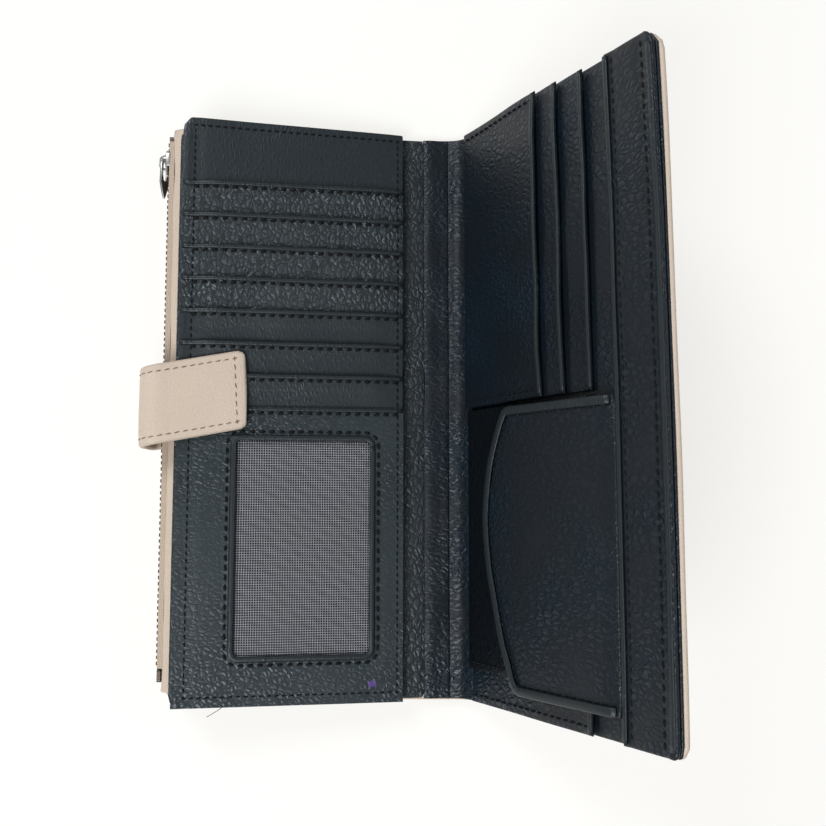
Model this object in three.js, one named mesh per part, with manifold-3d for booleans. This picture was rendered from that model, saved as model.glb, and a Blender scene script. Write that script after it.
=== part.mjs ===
// Long two-fold zip wallet, lying open with its right half raised.
// Millimetres, +Z up, +Y towards the top end, origin under the middle of the spine.
import * as THREE from "three";
import { mergeVertices } from "three/addons/utils/BufferGeometryUtils.js";
import Module from "manifold-3d";

const wasm = await Module();
wasm.setup();

// Overall sizes
const WALLET_LENGTH = 195;
const SPINE_WIDTH = 13.4;
const LEFT_WIDTH = 90.8;
const RIGHT_WIDTH = 93.2;
const RIGHT_RAISE = THREE.MathUtils.degToRad(58);
const SEAT_GAP = 0.3;
const FOLD_GAP = 0.4;
const EDGE_INSET = 0.5;

// Leather and cloth thicknesses
const COVER_LEATHER = 1.8;
const LINING_LEATHER = 1.0;
const SLOT_LEATHER = 0.7;
const BAND_LEATHER = 1.5;
const FLAP_LEATHER = 1.1;
const STRAP_THICKNESS = 2.2;
const COVER_CORNER = 6;
const PANEL_CORNER = 4;

// Left card panel, which rises towards the zip
const PANEL_WIDTH = 75.2;
const PANEL_RISE = 18.6;
const PANEL_SLOPE = THREE.MathUtils.degToRad(9);
const PANEL_INSET = 7.2;
const BILL_GAP = 0.7;
const BILL_TUCK = 1.2;

// Card slots on the left panel
const SLOT_COUNT = 7;
const SLOT_PITCH = 10.9;
const FIRST_SLOT_DROP = 20.7;
const SLOT_TUCK = 3;
const SLOT_HEM_RISE = 1.05;

// Mesh window under the slots
const WINDOW_WIDTH = 44.8;
const WINDOW_FROM_BOTTOM = 15.7;
const WINDOW_FROM_SEAM = 19.2;
const WINDOW_DROP = 11;
const WINDOW_CORNER = 1.5;
const NET_MARGIN = 3;
const NET_THICKNESS = 0.2;
const NET_COLUMNS = 9;
const NET_ROWS = 13;
const NET_BAR = 1.6;

// Zip chain, seen along the left edge
const CHAIN_FROM_EDGE = 1.1;
const CHAIN_HEIGHT = 9.5;
const CHAIN_THICKNESS = 1.2;
const CHAIN_TOP_MARGIN = 4.5;
const CHAIN_BOTTOM_MARGIN = 12;
const TOOTH_PITCH = 2;
const TOOTH_NECK = 0.55;
const TOOTH_HEAD = 0.75;
const TOOTH_REACH = 1;
const BEAD_START = 1.3;
const BEAD_WIDTH = 0.8;
const TAPE_THICKNESS = 0.5;
const TAPE_WIDTH = 2.1;
const GUSSET_LEATHER = 0.9;
const STOP_HEIGHT = 3.2;
const TOP_STOP_LENGTH = 2;
const BOTTOM_STOP_LENGTH = 4.4;
const POCKET_END_INSET = 2;
const POCKET_END_LEATHER = 1.2;

// Slider and puller
const SLIDER_LENGTH = 8.4;
const SLIDER_HEIGHT = 6.4;
const SLIDER_WAIST = 4.6;
const SLIDER_SHELL = 1;
const SLIDER_FLANGE = 0.6;
const SLIDER_FROM_TOP = 7.6;
const BAIL_LENGTH = 6;
const BAIL_WIDTH = 1.2;
const BAIL_WIRE = 0.6;
const BAIL_CLEARANCE = 0.25;
const PULLER_LENGTH = 14;
const PULLER_WIDTH = 5.4;
const PULLER_THICKNESS = 0.8;
const PULLER_WIRE = 1.1;
const PULLER_HOLE = 7;

// Closing strap and its magnets
const STRAP_WIDTH = 26;
const STRAP_SKEW = THREE.MathUtils.degToRad(11);
const STRAP_CENTRE = 1.5;
const STRAP_REACH = 23.6;
const STRAP_STANDOFF = 0.35;
const STRAP_ROOT_REACH = 14;
const STRAP_BEND = 4.4;
const STRAP_SPLIT = 14.6;
const STRAP_CORNER = 3;
const STRAP_LIFT = 2;
const MAGNET_RADIUS = 6;
const MAGNET_THICKNESS = 0.7;
const MAGNET_CLEARANCE = 0.3;
const MAGNET_FROM_TIP = 10;
const COVER_MAGNET_FROM_EDGE = 22.2;

// Right half
const FIRST_SLOT_EDGE = 42;
const SECOND_SLOT_EDGE = 51.2;
const THIRD_SLOT_EDGE = 62;
const LOWER_SLOT_EDGE = 60.6;
const BAND_WIDTH = 19.6;
const LINING_INSET = 0.6;
const DIVIDER_Y = 0.9;
const DIVIDER_GAP = 1;
const COIN_POCKET_REACH = 26;
const COIN_POCKET_END = 86;
const FLAP_SEAM = 1.4;
const FLAP_TIP = 18;
const FLAP_LENGTH = 88.6;
const FLAP_CORNER = 5;
const FLAP_ROOT_RISE = 1.4;
const FLAP_TIP_RISE = 3.5;
const RIGHT_ORIGIN = { x: 7.04, z: 4.8 };
const POCKET_ROOT = 1.6;
const FOLD_BACK = 0.6;
const FOLD_DEPTH = 2.2;
const FOLD_TIP_RADIUS = 0.5;

// Free edge of the coin flap from its upper end: millimetres back from the tip, share of the length
const FLAP_EDGE = [
  [10, 0.01],
  [7.2, 0.06],
  [4.2, 0.14],
  [2.1, 0.21],
  [0.6, 0.31],
  [0, 0.41],
  [1.5, 0.58],
  [4.6, 0.72],
  [7.4, 0.83],
  [10.5, 0.92],
];

// Curves are cut into this many steps
const CORNER_STEPS = 5;

// Places worked out from the sizes
const HALF_LENGTH = WALLET_LENGTH / 2;
const HALF_SPINE = SPINE_WIDTH / 2;
const LEFT_EDGE = -HALF_SPINE - LEFT_WIDTH;
const PANEL_LEFT = LEFT_EDGE + PANEL_INSET + EDGE_INSET;
const BACKING_TOP = -SEAT_GAP;
const DIVIDER_TOP = BACKING_TOP - LINING_LEATHER - BILL_GAP;
const DIVIDER_BOTTOM = DIVIDER_TOP - LINING_LEATHER;
const CHAIN_X = LEFT_EDGE + CHAIN_FROM_EDGE + CHAIN_THICKNESS / 2;
const CHAIN_TOP = HALF_LENGTH - CHAIN_TOP_MARGIN;
const CHAIN_BOTTOM = -HALF_LENGTH + CHAIN_BOTTOM_MARGIN;
const BEAD_END = BEAD_START + BEAD_WIDTH;
const LINING_TOP = -SLOT_LEATHER;
const slotEdge = (index) => HALF_LENGTH - FIRST_SLOT_DROP - index * SLOT_PITCH;
const WINDOW_TOP = slotEdge(SLOT_COUNT) - WINDOW_DROP;
const WINDOW_HEIGHT = WINDOW_TOP + HALF_LENGTH - EDGE_INSET - WINDOW_FROM_BOTTOM;
const FLAP_ROOT = RIGHT_WIDTH - LINING_INSET - BAND_WIDTH + FLAP_SEAM;

const LEATHER_BLACK = { color: 0x1d1d20, roughness: 0.52, metalness: 0 };
const LEATHER_BEIGE = { color: 0xd4c0b2, roughness: 0.6, metalness: 0 };
const CLOTH_BLACK = { color: 0x26262a, roughness: 0.9, metalness: 0 };
const CLOTH_GREY = { color: 0x6d6c70, roughness: 0.85, metalness: 0 };
const CLOTH_BEIGE = { color: 0xc9b29c, roughness: 0.9, metalness: 0 };
const METAL_DARK = { color: 0x4b4642, roughness: 0.35, metalness: 1 };
const METAL_BRIGHT = { color: 0xb9b7b3, roughness: 0.25, metalness: 1 };

// One named mesh with its own material
function piece(name, geometry, finish) {
  const mesh = new THREE.Mesh(geometry, new THREE.MeshStandardMaterial(finish));
  mesh.name = name;
  return mesh;
}

// A rectangle with its own radius at each corner
function roundedOutline(left, right, bottom, top, radii = {}) {
  const { bottomLeft = 0, bottomRight = 0, topLeft = 0, topRight = 0 } = radii;
  const outline = new THREE.Shape();
  outline.moveTo(left + bottomLeft, bottom);
  outline.lineTo(right - bottomRight, bottom);
  if (bottomRight) outline.absarc(right - bottomRight, bottom + bottomRight, bottomRight, -Math.PI / 2, 0);
  outline.lineTo(right, top - topRight);
  if (topRight) outline.absarc(right - topRight, top - topRight, topRight, 0, Math.PI / 2);
  outline.lineTo(left + topLeft, top);
  if (topLeft) outline.absarc(left + topLeft, top - topLeft, topLeft, Math.PI / 2, Math.PI);
  outline.lineTo(left, bottom + bottomLeft);
  if (bottomLeft) outline.absarc(left + bottomLeft, bottom + bottomLeft, bottomLeft, Math.PI, Math.PI * 1.5);
  return outline;
}

function closedShape(points) {
  return new THREE.Shape(points.map(([x, y]) => new THREE.Vector2(x, y)));
}

function extrude(shape, depth) {
  return new THREE.ExtrudeGeometry(shape, { depth, bevelEnabled: false, curveSegments: CORNER_STEPS });
}

// A flat piece cut to a plan outline, from its underside up
function plate(outline, underside, thickness) {
  return extrude(outline, thickness).translate(0, 0, underside);
}

// A section in X and Z, run along Y
function alongY(section, yLow, yHigh) {
  return extrude(section, yHigh - yLow).rotateX(Math.PI / 2).translate(0, yHigh, 0);
}

// A section in Y and Z, run along X
function alongX(section, xLow, xHigh) {
  const turn = new THREE.Matrix4().makeBasis(
    new THREE.Vector3(0, 1, 0),
    new THREE.Vector3(0, 0, 1),
    new THREE.Vector3(1, 0, 0),
  );
  return extrude(section, xHigh - xLow).applyMatrix4(turn).translate(xLow, 0, 0);
}

// Moves each point along Y in proportion to its X from a pivot
function skewed(geometry, angle, pivotX) {
  const slope = Math.tan(angle);
  const skew = new THREE.Matrix4().set(1, 0, 0, 0, slope, 1, 0, -slope * pivotX, 0, 0, 1, 0, 0, 0, 0, 1);
  return geometry.applyMatrix4(skew);
}

function toSolid(geometry) {
  const bare = geometry.clone();
  bare.deleteAttribute("normal");
  bare.deleteAttribute("uv");
  const merged = mergeVertices(bare, 1e-4);
  const vertProperties = new Float32Array(merged.attributes.position.array);
  const triVerts = new Uint32Array(merged.index.array);
  return new wasm.Manifold(new wasm.Mesh({ numProp: 3, vertProperties, triVerts }));
}

function toGeometry(solid) {
  const mesh = solid.getMesh();
  const geometry = new THREE.BufferGeometry();
  geometry.setAttribute("position", new THREE.BufferAttribute(new Float32Array(mesh.vertProperties), 3));
  geometry.setIndex(new THREE.BufferAttribute(new Uint32Array(mesh.triVerts), 1));
  geometry.computeVertexNormals();
  return geometry;
}

const common = (one, other) => toGeometry(toSolid(one).intersect(toSolid(other)));
const joined = (one, other) => toGeometry(toSolid(one).add(toSolid(other)));
const cut = (one, other) => toGeometry(toSolid(one).subtract(toSolid(other)));

// Height of the sloping left panel's own level at a place across the wallet
function panelHeight(x, level) {
  return PANEL_RISE + level / Math.cos(PANEL_SLOPE) - (x - PANEL_LEFT) * Math.tan(PANEL_SLOPE);
}

// Outer cover under the left half
function leftCover() {
  const right = -HALF_SPINE - FOLD_GAP;
  const radii = { topLeft: COVER_CORNER, bottomLeft: COVER_CORNER };
  const outline = roundedOutline(LEFT_EDGE, right, -HALF_LENGTH, HALF_LENGTH, radii);
  return piece("cover_left", plate(outline, 0, COVER_LEATHER), LEATHER_BEIGE);
}

// Divider behind the card panel: roof of the zip pocket and back wall of the bill pocket
function billDivider() {
  const reach = (-HALF_SPINE - BILL_TUCK - PANEL_LEFT) / Math.cos(PANEL_SLOPE);
  const half = HALF_LENGTH - EDGE_INSET * 2;
  const radii = { topLeft: PANEL_CORNER, bottomLeft: PANEL_CORNER / 2 };
  const outline = roundedOutline(-EDGE_INSET * 2, reach, -half, half, radii);
  return piece("bill_divider", plate(outline, DIVIDER_BOTTOM, LINING_LEATHER), LEATHER_BLACK);
}

function cardBacking() {
  const half = HALF_LENGTH - EDGE_INSET;
  const radii = { topLeft: PANEL_CORNER, bottomLeft: PANEL_CORNER / 2 };
  const outline = roundedOutline(0, PANEL_WIDTH, -half, half, radii);
  const sheet = plate(outline, BACKING_TOP - LINING_LEATHER, LINING_LEATHER);
  return piece("card_panel_backing", sheet, CLOTH_BLACK);
}

// Plain leather above the first slot
function panelHeader() {
  const radii = { topLeft: PANEL_CORNER };
  const outline = roundedOutline(0, PANEL_WIDTH, slotEdge(0) - SLOT_TUCK, HALF_LENGTH - EDGE_INSET, radii);
  return piece("card_panel_header", plate(outline, 0, SLOT_LEATHER - SEAT_GAP / 2), LEATHER_BLACK);
}

// One shingled strip: its turned top edge stands over the strip above
function slotStrip(index) {
  const top = slotEdge(index);
  const bottom = slotEdge(index + 1) - SLOT_TUCK;
  const section = closedShape([
    [bottom, 0],
    [top, SLOT_HEM_RISE],
    [top, SLOT_HEM_RISE + SLOT_LEATHER],
    [bottom, SLOT_LEATHER - SEAT_GAP / 2],
  ]);
  return piece(`card_slot_${index + 1}`, alongX(section, 0, PANEL_WIDTH), LEATHER_BLACK);
}

function windowOutline(margin) {
  const left = WINDOW_FROM_SEAM - margin;
  const top = WINDOW_TOP + margin;
  const right = left + WINDOW_WIDTH + margin * 2;
  const bottom = WINDOW_TOP - WINDOW_HEIGHT - margin;
  const radius = WINDOW_CORNER;
  const radii = { bottomLeft: radius, bottomRight: radius, topLeft: radius, topRight: radius };
  return roundedOutline(left, right, bottom, top, radii);
}

// Lowest pocket, with the framed window for an identity card
function windowPanel() {
  const top = slotEdge(SLOT_COUNT);
  const bottom = -HALF_LENGTH + EDGE_INSET;
  const outline = roundedOutline(0, PANEL_WIDTH, bottom, top, { bottomLeft: PANEL_CORNER / 2 });
  outline.holes.push(windowOutline(0));
  const slope = (SLOT_HEM_RISE - SEAT_GAP) / (top - bottom);
  const lean = new THREE.Matrix4().set(1, 0, 0, 0, 0, 1, 0, 0, 0, slope, 1, -slope * top, 0, 0, 0, 1);
  const panel = plate(outline, SLOT_HEM_RISE, SLOT_LEATHER).applyMatrix4(lean);
  return piece("id_window_panel", panel, LEATHER_BLACK);
}

// Net behind the window: one sheet with a grid of holes
function windowNet() {
  const stepX = WINDOW_WIDTH / NET_COLUMNS;
  const stepY = WINDOW_HEIGHT / NET_ROWS;
  const holes = [];
  for (let column = 0; column < NET_COLUMNS; column++) {
    for (let row = 0; row < NET_ROWS; row++) {
      const left = WINDOW_FROM_SEAM + column * stepX + NET_BAR / 2;
      const high = WINDOW_TOP - row * stepY - NET_BAR / 2;
      holes.push(roundedOutline(left, left + stepX - NET_BAR, high - stepY + NET_BAR, high));
    }
  }
  const sheet = plate(windowOutline(NET_MARGIN), 0, NET_THICKNESS);
  const punch = plate(holes, -NET_THICKNESS, NET_THICKNESS * 3);
  return piece("id_window_net", cut(sheet, punch), CLOTH_GREY);
}

function cardPanel() {
  const group = new THREE.Group();
  group.position.set(PANEL_LEFT, 0, PANEL_RISE);
  group.rotation.y = PANEL_SLOPE;
  group.add(billDivider(), cardBacking(), panelHeader());
  for (let index = 0; index < SLOT_COUNT; index++) group.add(slotStrip(index));
  group.add(windowPanel(), windowNet());
  return group;
}

// Leather strip from the card panel's edge down to the zip
function upperGusset() {
  const tapeTop = CHAIN_HEIGHT + BEAD_START + TAPE_WIDTH - SEAT_GAP;
  const outer = CHAIN_X + CHAIN_THICKNESS / 2;
  const inner = PANEL_LEFT + GUSSET_LEATHER + PANEL_INSET / 2;
  const shoulder = PANEL_LEFT + GUSSET_LEATHER - PANEL_INSET / 4;
  const seat = (x) => panelHeight(x, DIVIDER_BOTTOM) - SEAT_GAP;
  const section = closedShape([
    [outer, tapeTop],
    [outer + GUSSET_LEATHER, tapeTop],
    [inner, seat(inner) - SEAT_GAP - GUSSET_LEATHER],
    [inner, seat(inner)],
    [shoulder, seat(shoulder)],
  ]);
  const end = HALF_LENGTH - EDGE_INSET * 2;
  return piece("zip_gusset_upper", alongY(section, -end + PANEL_CORNER, end), LEATHER_BEIGE);
}

// Leather wall from the cover up to the zip, with a slit that lets the strap out
function lowerGusset() {
  const outer = CHAIN_X + CHAIN_THICKNESS / 2;
  const foot = COVER_LEATHER + SEAT_GAP;
  const head = CHAIN_HEIGHT - BEAD_START - TAPE_WIDTH + SEAT_GAP;
  const end = HALF_LENGTH - COVER_CORNER;
  const slitHalf = STRAP_WIDTH / 2 + SEAT_GAP * 2;
  const middle = STRAP_CENTRE + strapShift(outer);
  const slitTop = foot + STRAP_THICKNESS + SEAT_GAP;
  const face = closedShape([
    [-end, foot],
    [middle - slitHalf, foot],
    [middle - slitHalf, slitTop],
    [middle + slitHalf, slitTop],
    [middle + slitHalf, foot],
    [end, foot],
    [end, head],
    [-end, head],
  ]);
  return piece("zip_gusset_lower", alongX(face, outer, outer + GUSSET_LEATHER), LEATHER_BEIGE);
}

function pocketEnd(name, side) {
  const left = CHAIN_X + CHAIN_THICKNESS / 2 + GUSSET_LEATHER + SEAT_GAP * 2 + SLIDER_SHELL;
  const right = -HALF_SPINE - PANEL_INSET;
  const foot = COVER_LEATHER + SEAT_GAP;
  const section = closedShape([
    [left, foot],
    [right, foot],
    [right, panelHeight(right, DIVIDER_BOTTOM) - SEAT_GAP],
    [PANEL_LEFT + PANEL_INSET, panelHeight(PANEL_LEFT + PANEL_INSET, DIVIDER_BOTTOM) - SEAT_GAP],
    [left, CHAIN_HEIGHT],
  ]);
  const outer = side * (HALF_LENGTH - COVER_CORNER / 2 - POCKET_END_INSET);
  const low = Math.min(outer, outer - side * POCKET_END_LEATHER);
  return piece(name, alongY(section, low, low + POCKET_END_LEATHER), CLOTH_BLACK);
}

// One row of teeth on its bead, side +1 above the middle line and -1 below it
function toothRow(name, side) {
  const outline = [];
  const phase = side > 0 ? 0 : TOOTH_PITCH / 2;
  const count = Math.floor((CHAIN_TOP - CHAIN_BOTTOM) / TOOTH_PITCH) - 1;
  outline.push([CHAIN_BOTTOM, side * BEAD_END], [CHAIN_BOTTOM, side * BEAD_START]);
  for (let index = 0; index < count; index++) {
    const y = CHAIN_BOTTOM + TOOTH_PITCH * (index + 1) + phase - TOOTH_PITCH / 2;
    const reach = -side * TOOTH_REACH;
    outline.push([y - TOOTH_NECK / 2, side * BEAD_START]);
    outline.push([y - TOOTH_HEAD / 2, 0]);
    outline.push([y - TOOTH_NECK / 2, reach]);
    outline.push([y + TOOTH_NECK / 2, reach]);
    outline.push([y + TOOTH_HEAD / 2, 0]);
    outline.push([y + TOOTH_NECK / 2, side * BEAD_START]);
  }
  outline.push([CHAIN_TOP, side * BEAD_START], [CHAIN_TOP, side * BEAD_END]);
  const row = alongX(closedShape(outline), CHAIN_X - CHAIN_THICKNESS / 2, CHAIN_X + CHAIN_THICKNESS / 2);
  return piece(name, row.translate(0, 0, CHAIN_HEIGHT), METAL_DARK);
}

function zipTape(name, side) {
  const near = CHAIN_HEIGHT + side * (BEAD_END + SEAT_GAP);
  const far = CHAIN_HEIGHT + side * (BEAD_START + TAPE_WIDTH);
  const left = CHAIN_X - TAPE_THICKNESS / 2;
  const right = CHAIN_X + CHAIN_THICKNESS / 2 + GUSSET_LEATHER;
  const fold = far - side * SEAT_GAP * 2;
  const section = closedShape([
    [left, near],
    [left + TAPE_THICKNESS, near],
    [left + TAPE_THICKNESS, fold - side * TAPE_THICKNESS],
    [right, fold - side * TAPE_THICKNESS],
    [right, fold],
    [left, fold],
  ]);
  return piece(name, alongY(section, CHAIN_BOTTOM, CHAIN_TOP), CLOTH_BEIGE);
}

function zipStop(name, low, length) {
  const half = STOP_HEIGHT / 2;
  const radii = { bottomLeft: half / 2, bottomRight: half / 2, topLeft: half / 2, topRight: half / 2 };
  const face = roundedOutline(low, low + length, CHAIN_HEIGHT - half, CHAIN_HEIGHT + half, radii);
  const stop = alongX(face, CHAIN_X - CHAIN_THICKNESS / 2, CHAIN_X + CHAIN_THICKNESS / 2);
  return piece(name, stop, METAL_DARK);
}

function zipChain() {
  const group = new THREE.Group();
  group.add(toothRow("zip_teeth_upper", 1), toothRow("zip_teeth_lower", -1));
  group.add(zipTape("zip_tape_upper", 1), zipTape("zip_tape_lower", -1));
  group.add(zipStop("zip_top_stop", CHAIN_TOP + SEAT_GAP, TOP_STOP_LENGTH));
  const bottomStop = CHAIN_BOTTOM - SEAT_GAP - BOTTOM_STOP_LENGTH;
  group.add(zipStop("zip_bottom_stop", bottomStop, BOTTOM_STOP_LENGTH));
  return group;
}

// Shell outline of the slider, wide at its shoulders and narrow at its mouth
function sliderOutline() {
  const shoulder = SLIDER_HEIGHT / 2;
  const mouth = SLIDER_WAIST / 2;
  const top = SLIDER_LENGTH / 2;
  return closedShape([
    [-top, -mouth],
    [0, -shoulder * 0.92],
    [top * 0.6, -shoulder],
    [top, -shoulder * 0.75],
    [top, shoulder * 0.75],
    [top * 0.6, shoulder],
    [0, shoulder * 0.92],
    [-top, mouth],
  ]);
}

const sliderCentre = () => HALF_LENGTH - SLIDER_FROM_TOP - SLIDER_LENGTH / 2;
const shellInner = () => CHAIN_X - CHAIN_THICKNESS / 2 - SEAT_GAP;

// Front shell with its two side flanges and the bail that holds the puller
function sliderFront() {
  const inner = shellInner();
  const shell = alongX(sliderOutline(), inner - SLIDER_SHELL, inner);
  const rim = alongX(sliderOutline(), inner - SLIDER_SHELL / 2, inner + CHAIN_THICKNESS / 2);
  const channelHalf = BEAD_END + SEAT_GAP / 2;
  const channel = alongX(
    roundedOutline(-SLIDER_LENGTH, SLIDER_LENGTH, -channelHalf, channelHalf),
    inner - SLIDER_SHELL * 2,
    inner + CHAIN_THICKNESS,
  );
  const body = joined(shell, cut(rim, channel));
  const bailHeight = PULLER_THICKNESS + BAIL_CLEARANCE * 2;
  const foot = inner - SLIDER_SHELL;
  const arch = new THREE.Shape();
  arch.moveTo(foot + SLIDER_FLANGE / 2, -BAIL_LENGTH / 2);
  arch.lineTo(foot - bailHeight, -BAIL_LENGTH / 2);
  arch.lineTo(foot - bailHeight - BAIL_WIRE, -BAIL_LENGTH / 2 + BAIL_WIRE);
  arch.lineTo(foot - bailHeight - BAIL_WIRE, BAIL_LENGTH / 2 - BAIL_WIRE);
  arch.lineTo(foot - bailHeight, BAIL_LENGTH / 2);
  arch.lineTo(foot + SLIDER_FLANGE / 2, BAIL_LENGTH / 2);
  arch.lineTo(foot + SLIDER_FLANGE / 2, BAIL_LENGTH / 2 - BAIL_WIRE);
  arch.lineTo(foot - bailHeight, BAIL_LENGTH / 2 - BAIL_WIRE);
  arch.lineTo(foot - bailHeight, -BAIL_LENGTH / 2 + BAIL_WIRE);
  arch.lineTo(foot + SLIDER_FLANGE / 2, -BAIL_LENGTH / 2 + BAIL_WIRE);
  const bail = plate(arch, -BAIL_WIDTH / 2, BAIL_WIDTH);
  const front = piece("zip_slider_front", joined(body, bail), METAL_BRIGHT);
  front.position.set(0, sliderCentre(), CHAIN_HEIGHT);
  return front;
}

function sliderBack() {
  const inner = CHAIN_X + CHAIN_THICKNESS / 2 + SEAT_GAP;
  const outline = closedShape([
    [-SLIDER_LENGTH / 2, -SLIDER_WAIST / 2 + SLIDER_FLANGE],
    [SLIDER_LENGTH / 2, -BEAD_START],
    [SLIDER_LENGTH / 2, BEAD_START],
    [-SLIDER_LENGTH / 2, SLIDER_WAIST / 2 - SLIDER_FLANGE],
  ]);
  const back = piece("zip_slider_back", alongX(outline, inner, inner + SLIDER_SHELL), METAL_BRIGHT);
  back.position.set(0, sliderCentre(), CHAIN_HEIGHT);
  return back;
}

// Tear-shaped ring: the bar at its head passes under the bail
function puller() {
  const half = PULLER_WIDTH / 2;
  const headY = BAIL_LENGTH / 2 - BAIL_WIRE - BAIL_CLEARANCE;
  const tail = headY - PULLER_LENGTH;
  const ring = new THREE.Shape();
  ring.moveTo(headY, -half + PULLER_WIRE);
  ring.lineTo(headY, half - PULLER_WIRE);
  ring.quadraticCurveTo(headY, half, headY - PULLER_WIRE, half);
  ring.lineTo(headY - PULLER_HOLE, half * 0.9);
  ring.lineTo(tail, PULLER_WIRE / 2);
  ring.lineTo(tail, -PULLER_WIRE / 2);
  ring.lineTo(headY - PULLER_HOLE, -half * 0.9);
  ring.lineTo(headY - PULLER_WIRE, -half);
  ring.quadraticCurveTo(headY, -half, headY, -half + PULLER_WIRE);
  const holeTop = headY - PULLER_WIRE;
  const holeHalf = half - PULLER_WIRE;
  const radii = { bottomLeft: holeHalf * 0.6, topLeft: holeHalf * 0.6 };
  ring.holes.push(roundedOutline(holeTop - PULLER_HOLE, holeTop, -holeHalf, holeHalf, radii));
  const outerFace = shellInner() - SLIDER_SHELL - BAIL_CLEARANCE;
  const plateRing = alongX(ring, outerFace - PULLER_THICKNESS, outerFace);
  const mesh = piece("zip_puller", plateRing, METAL_BRIGHT);
  mesh.position.set(0, sliderCentre(), CHAIN_HEIGHT);
  return mesh;
}

// How far the skewed strap lies up the wallet at a place across it
const strapShift = (x) => Math.tan(STRAP_SKEW) * (x - PANEL_LEFT);
const bailReach = () => SLIDER_SHELL + PULLER_THICKNESS + BAIL_CLEARANCE * 2 + BAIL_WIRE;
const strapInner = () => shellInner() - bailReach() - STRAP_STANDOFF;

// Strap plan: long edges run askew, both ends nearly along the wallet
function strapPlan(left, right) {
  const half = STRAP_WIDTH / 2;
  const radii = { topRight: STRAP_CORNER, bottomRight: STRAP_CORNER };
  const outline = roundedOutline(left, right, STRAP_CENTRE - half, STRAP_CENTRE + half, radii);
  return skewed(plate(outline, 0, PANEL_RISE * 2), STRAP_SKEW, PANEL_LEFT);
}

// Root of the strap, sewn in between the cover and the zip, and rising past the zip
function strapRoot() {
  const inner = strapInner();
  const outer = inner - STRAP_THICKNESS;
  const foot = COVER_LEATHER + SEAT_GAP;
  const section = new THREE.Shape();
  section.moveTo(LEFT_EDGE + STRAP_ROOT_REACH, foot);
  section.lineTo(LEFT_EDGE + STRAP_ROOT_REACH, foot + STRAP_THICKNESS);
  section.lineTo(inner + SEAT_GAP, foot + STRAP_THICKNESS);
  section.lineTo(inner, foot + STRAP_THICKNESS + SEAT_GAP);
  section.lineTo(inner, STRAP_SPLIT);
  section.lineTo(outer, STRAP_SPLIT);
  section.lineTo(outer, foot + STRAP_THICKNESS);
  section.quadraticCurveTo(outer, foot, outer + STRAP_THICKNESS, foot);
  const half = STRAP_WIDTH / 2;
  const root = alongY(section, STRAP_CENTRE - half, STRAP_CENTRE + half);
  return piece("strap_root", skewed(root, STRAP_SKEW, PANEL_LEFT), LEATHER_BEIGE);
}

const magnetX = () => PANEL_LEFT + (STRAP_REACH - MAGNET_FROM_TIP) * Math.cos(PANEL_SLOPE);

function discAt(x, y, z, radius, thickness, tilt) {
  const disc = new THREE.CylinderGeometry(radius, radius, thickness, 32).rotateX(Math.PI / 2);
  return disc.rotateY(tilt).translate(x, y, z);
}

function magnetDisc(radius, thickness, sink) {
  const x = magnetX();
  const level = STRAP_LIFT + sink + thickness / 2;
  return discAt(x, STRAP_CENTRE + strapShift(x), panelHeight(x, level), radius, thickness, PANEL_SLOPE);
}

// Arm of the strap: over the bend and down onto the card panel
function strapArm() {
  const inner = strapInner();
  const outer = inner - STRAP_THICKNESS;
  const tip = PANEL_LEFT + STRAP_REACH * Math.cos(PANEL_SLOPE);
  const start = STRAP_SPLIT + SEAT_GAP;
  const under = (x) => panelHeight(x, STRAP_LIFT);
  const over = (x) => panelHeight(x, STRAP_LIFT + STRAP_THICKNESS);
  const bendOut = outer + STRAP_BEND + STRAP_THICKNESS;
  const bendIn = inner + STRAP_BEND;
  const section = new THREE.Shape();
  section.moveTo(outer, start);
  section.lineTo(outer, over(outer) - STRAP_BEND - STRAP_THICKNESS);
  section.quadraticCurveTo(outer, over(outer), bendOut, over(bendOut));
  section.lineTo(tip, over(tip));
  section.lineTo(tip, under(tip));
  section.lineTo(bendIn, under(bendIn));
  section.quadraticCurveTo(inner, under(inner), inner, under(inner) - STRAP_BEND);
  section.lineTo(inner, start);
  const half = STRAP_WIDTH;
  const arm = common(alongY(section, -half, half + STRAP_CENTRE), strapPlan(outer - STRAP_THICKNESS, tip));
  const depth = MAGNET_THICKNESS * 2 + MAGNET_CLEARANCE;
  const recess = magnetDisc(MAGNET_RADIUS + MAGNET_CLEARANCE, depth, -MAGNET_THICKNESS);
  return piece("strap_arm", cut(arm, recess), LEATHER_BEIGE);
}

function strapMagnet() {
  return piece("strap_magnet", magnetDisc(MAGNET_RADIUS, MAGNET_THICKNESS, 0), METAL_BRIGHT);
}

// The line that the right half turns about, inside the bend of its cover
function rightFoldAxis() {
  const cos = Math.cos(RIGHT_RAISE);
  const sin = Math.sin(RIGHT_RAISE);
  return {
    x: RIGHT_ORIGIN.x - FOLD_BACK * cos + FOLD_DEPTH * sin,
    z: RIGHT_ORIGIN.z - FOLD_BACK * sin - FOLD_DEPTH * cos,
  };
}

// Spine cover: flat on the table, then turned up towards the raised half
function spineCover() {
  const turn = HALF_SPINE - COVER_LEATHER;
  const axis = rightFoldAxis();
  const tip = FOLD_TIP_RADIUS;
  const section = new THREE.Shape();
  section.moveTo(-HALF_SPINE + FOLD_GAP, 0);
  section.lineTo(turn, 0);
  section.quadraticCurveTo(axis.x + tip, 0, axis.x + tip, axis.z - tip / 2);
  section.lineTo(axis.x + tip / 2, axis.z + tip);
  section.lineTo(axis.x - tip, axis.z + tip / 2);
  section.quadraticCurveTo(HALF_SPINE, COVER_LEATHER, turn, COVER_LEATHER);
  section.lineTo(-HALF_SPINE + FOLD_GAP, COVER_LEATHER);
  return piece("spine_cover", alongY(section, -HALF_LENGTH, HALF_LENGTH), LEATHER_BEIGE);
}

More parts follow.
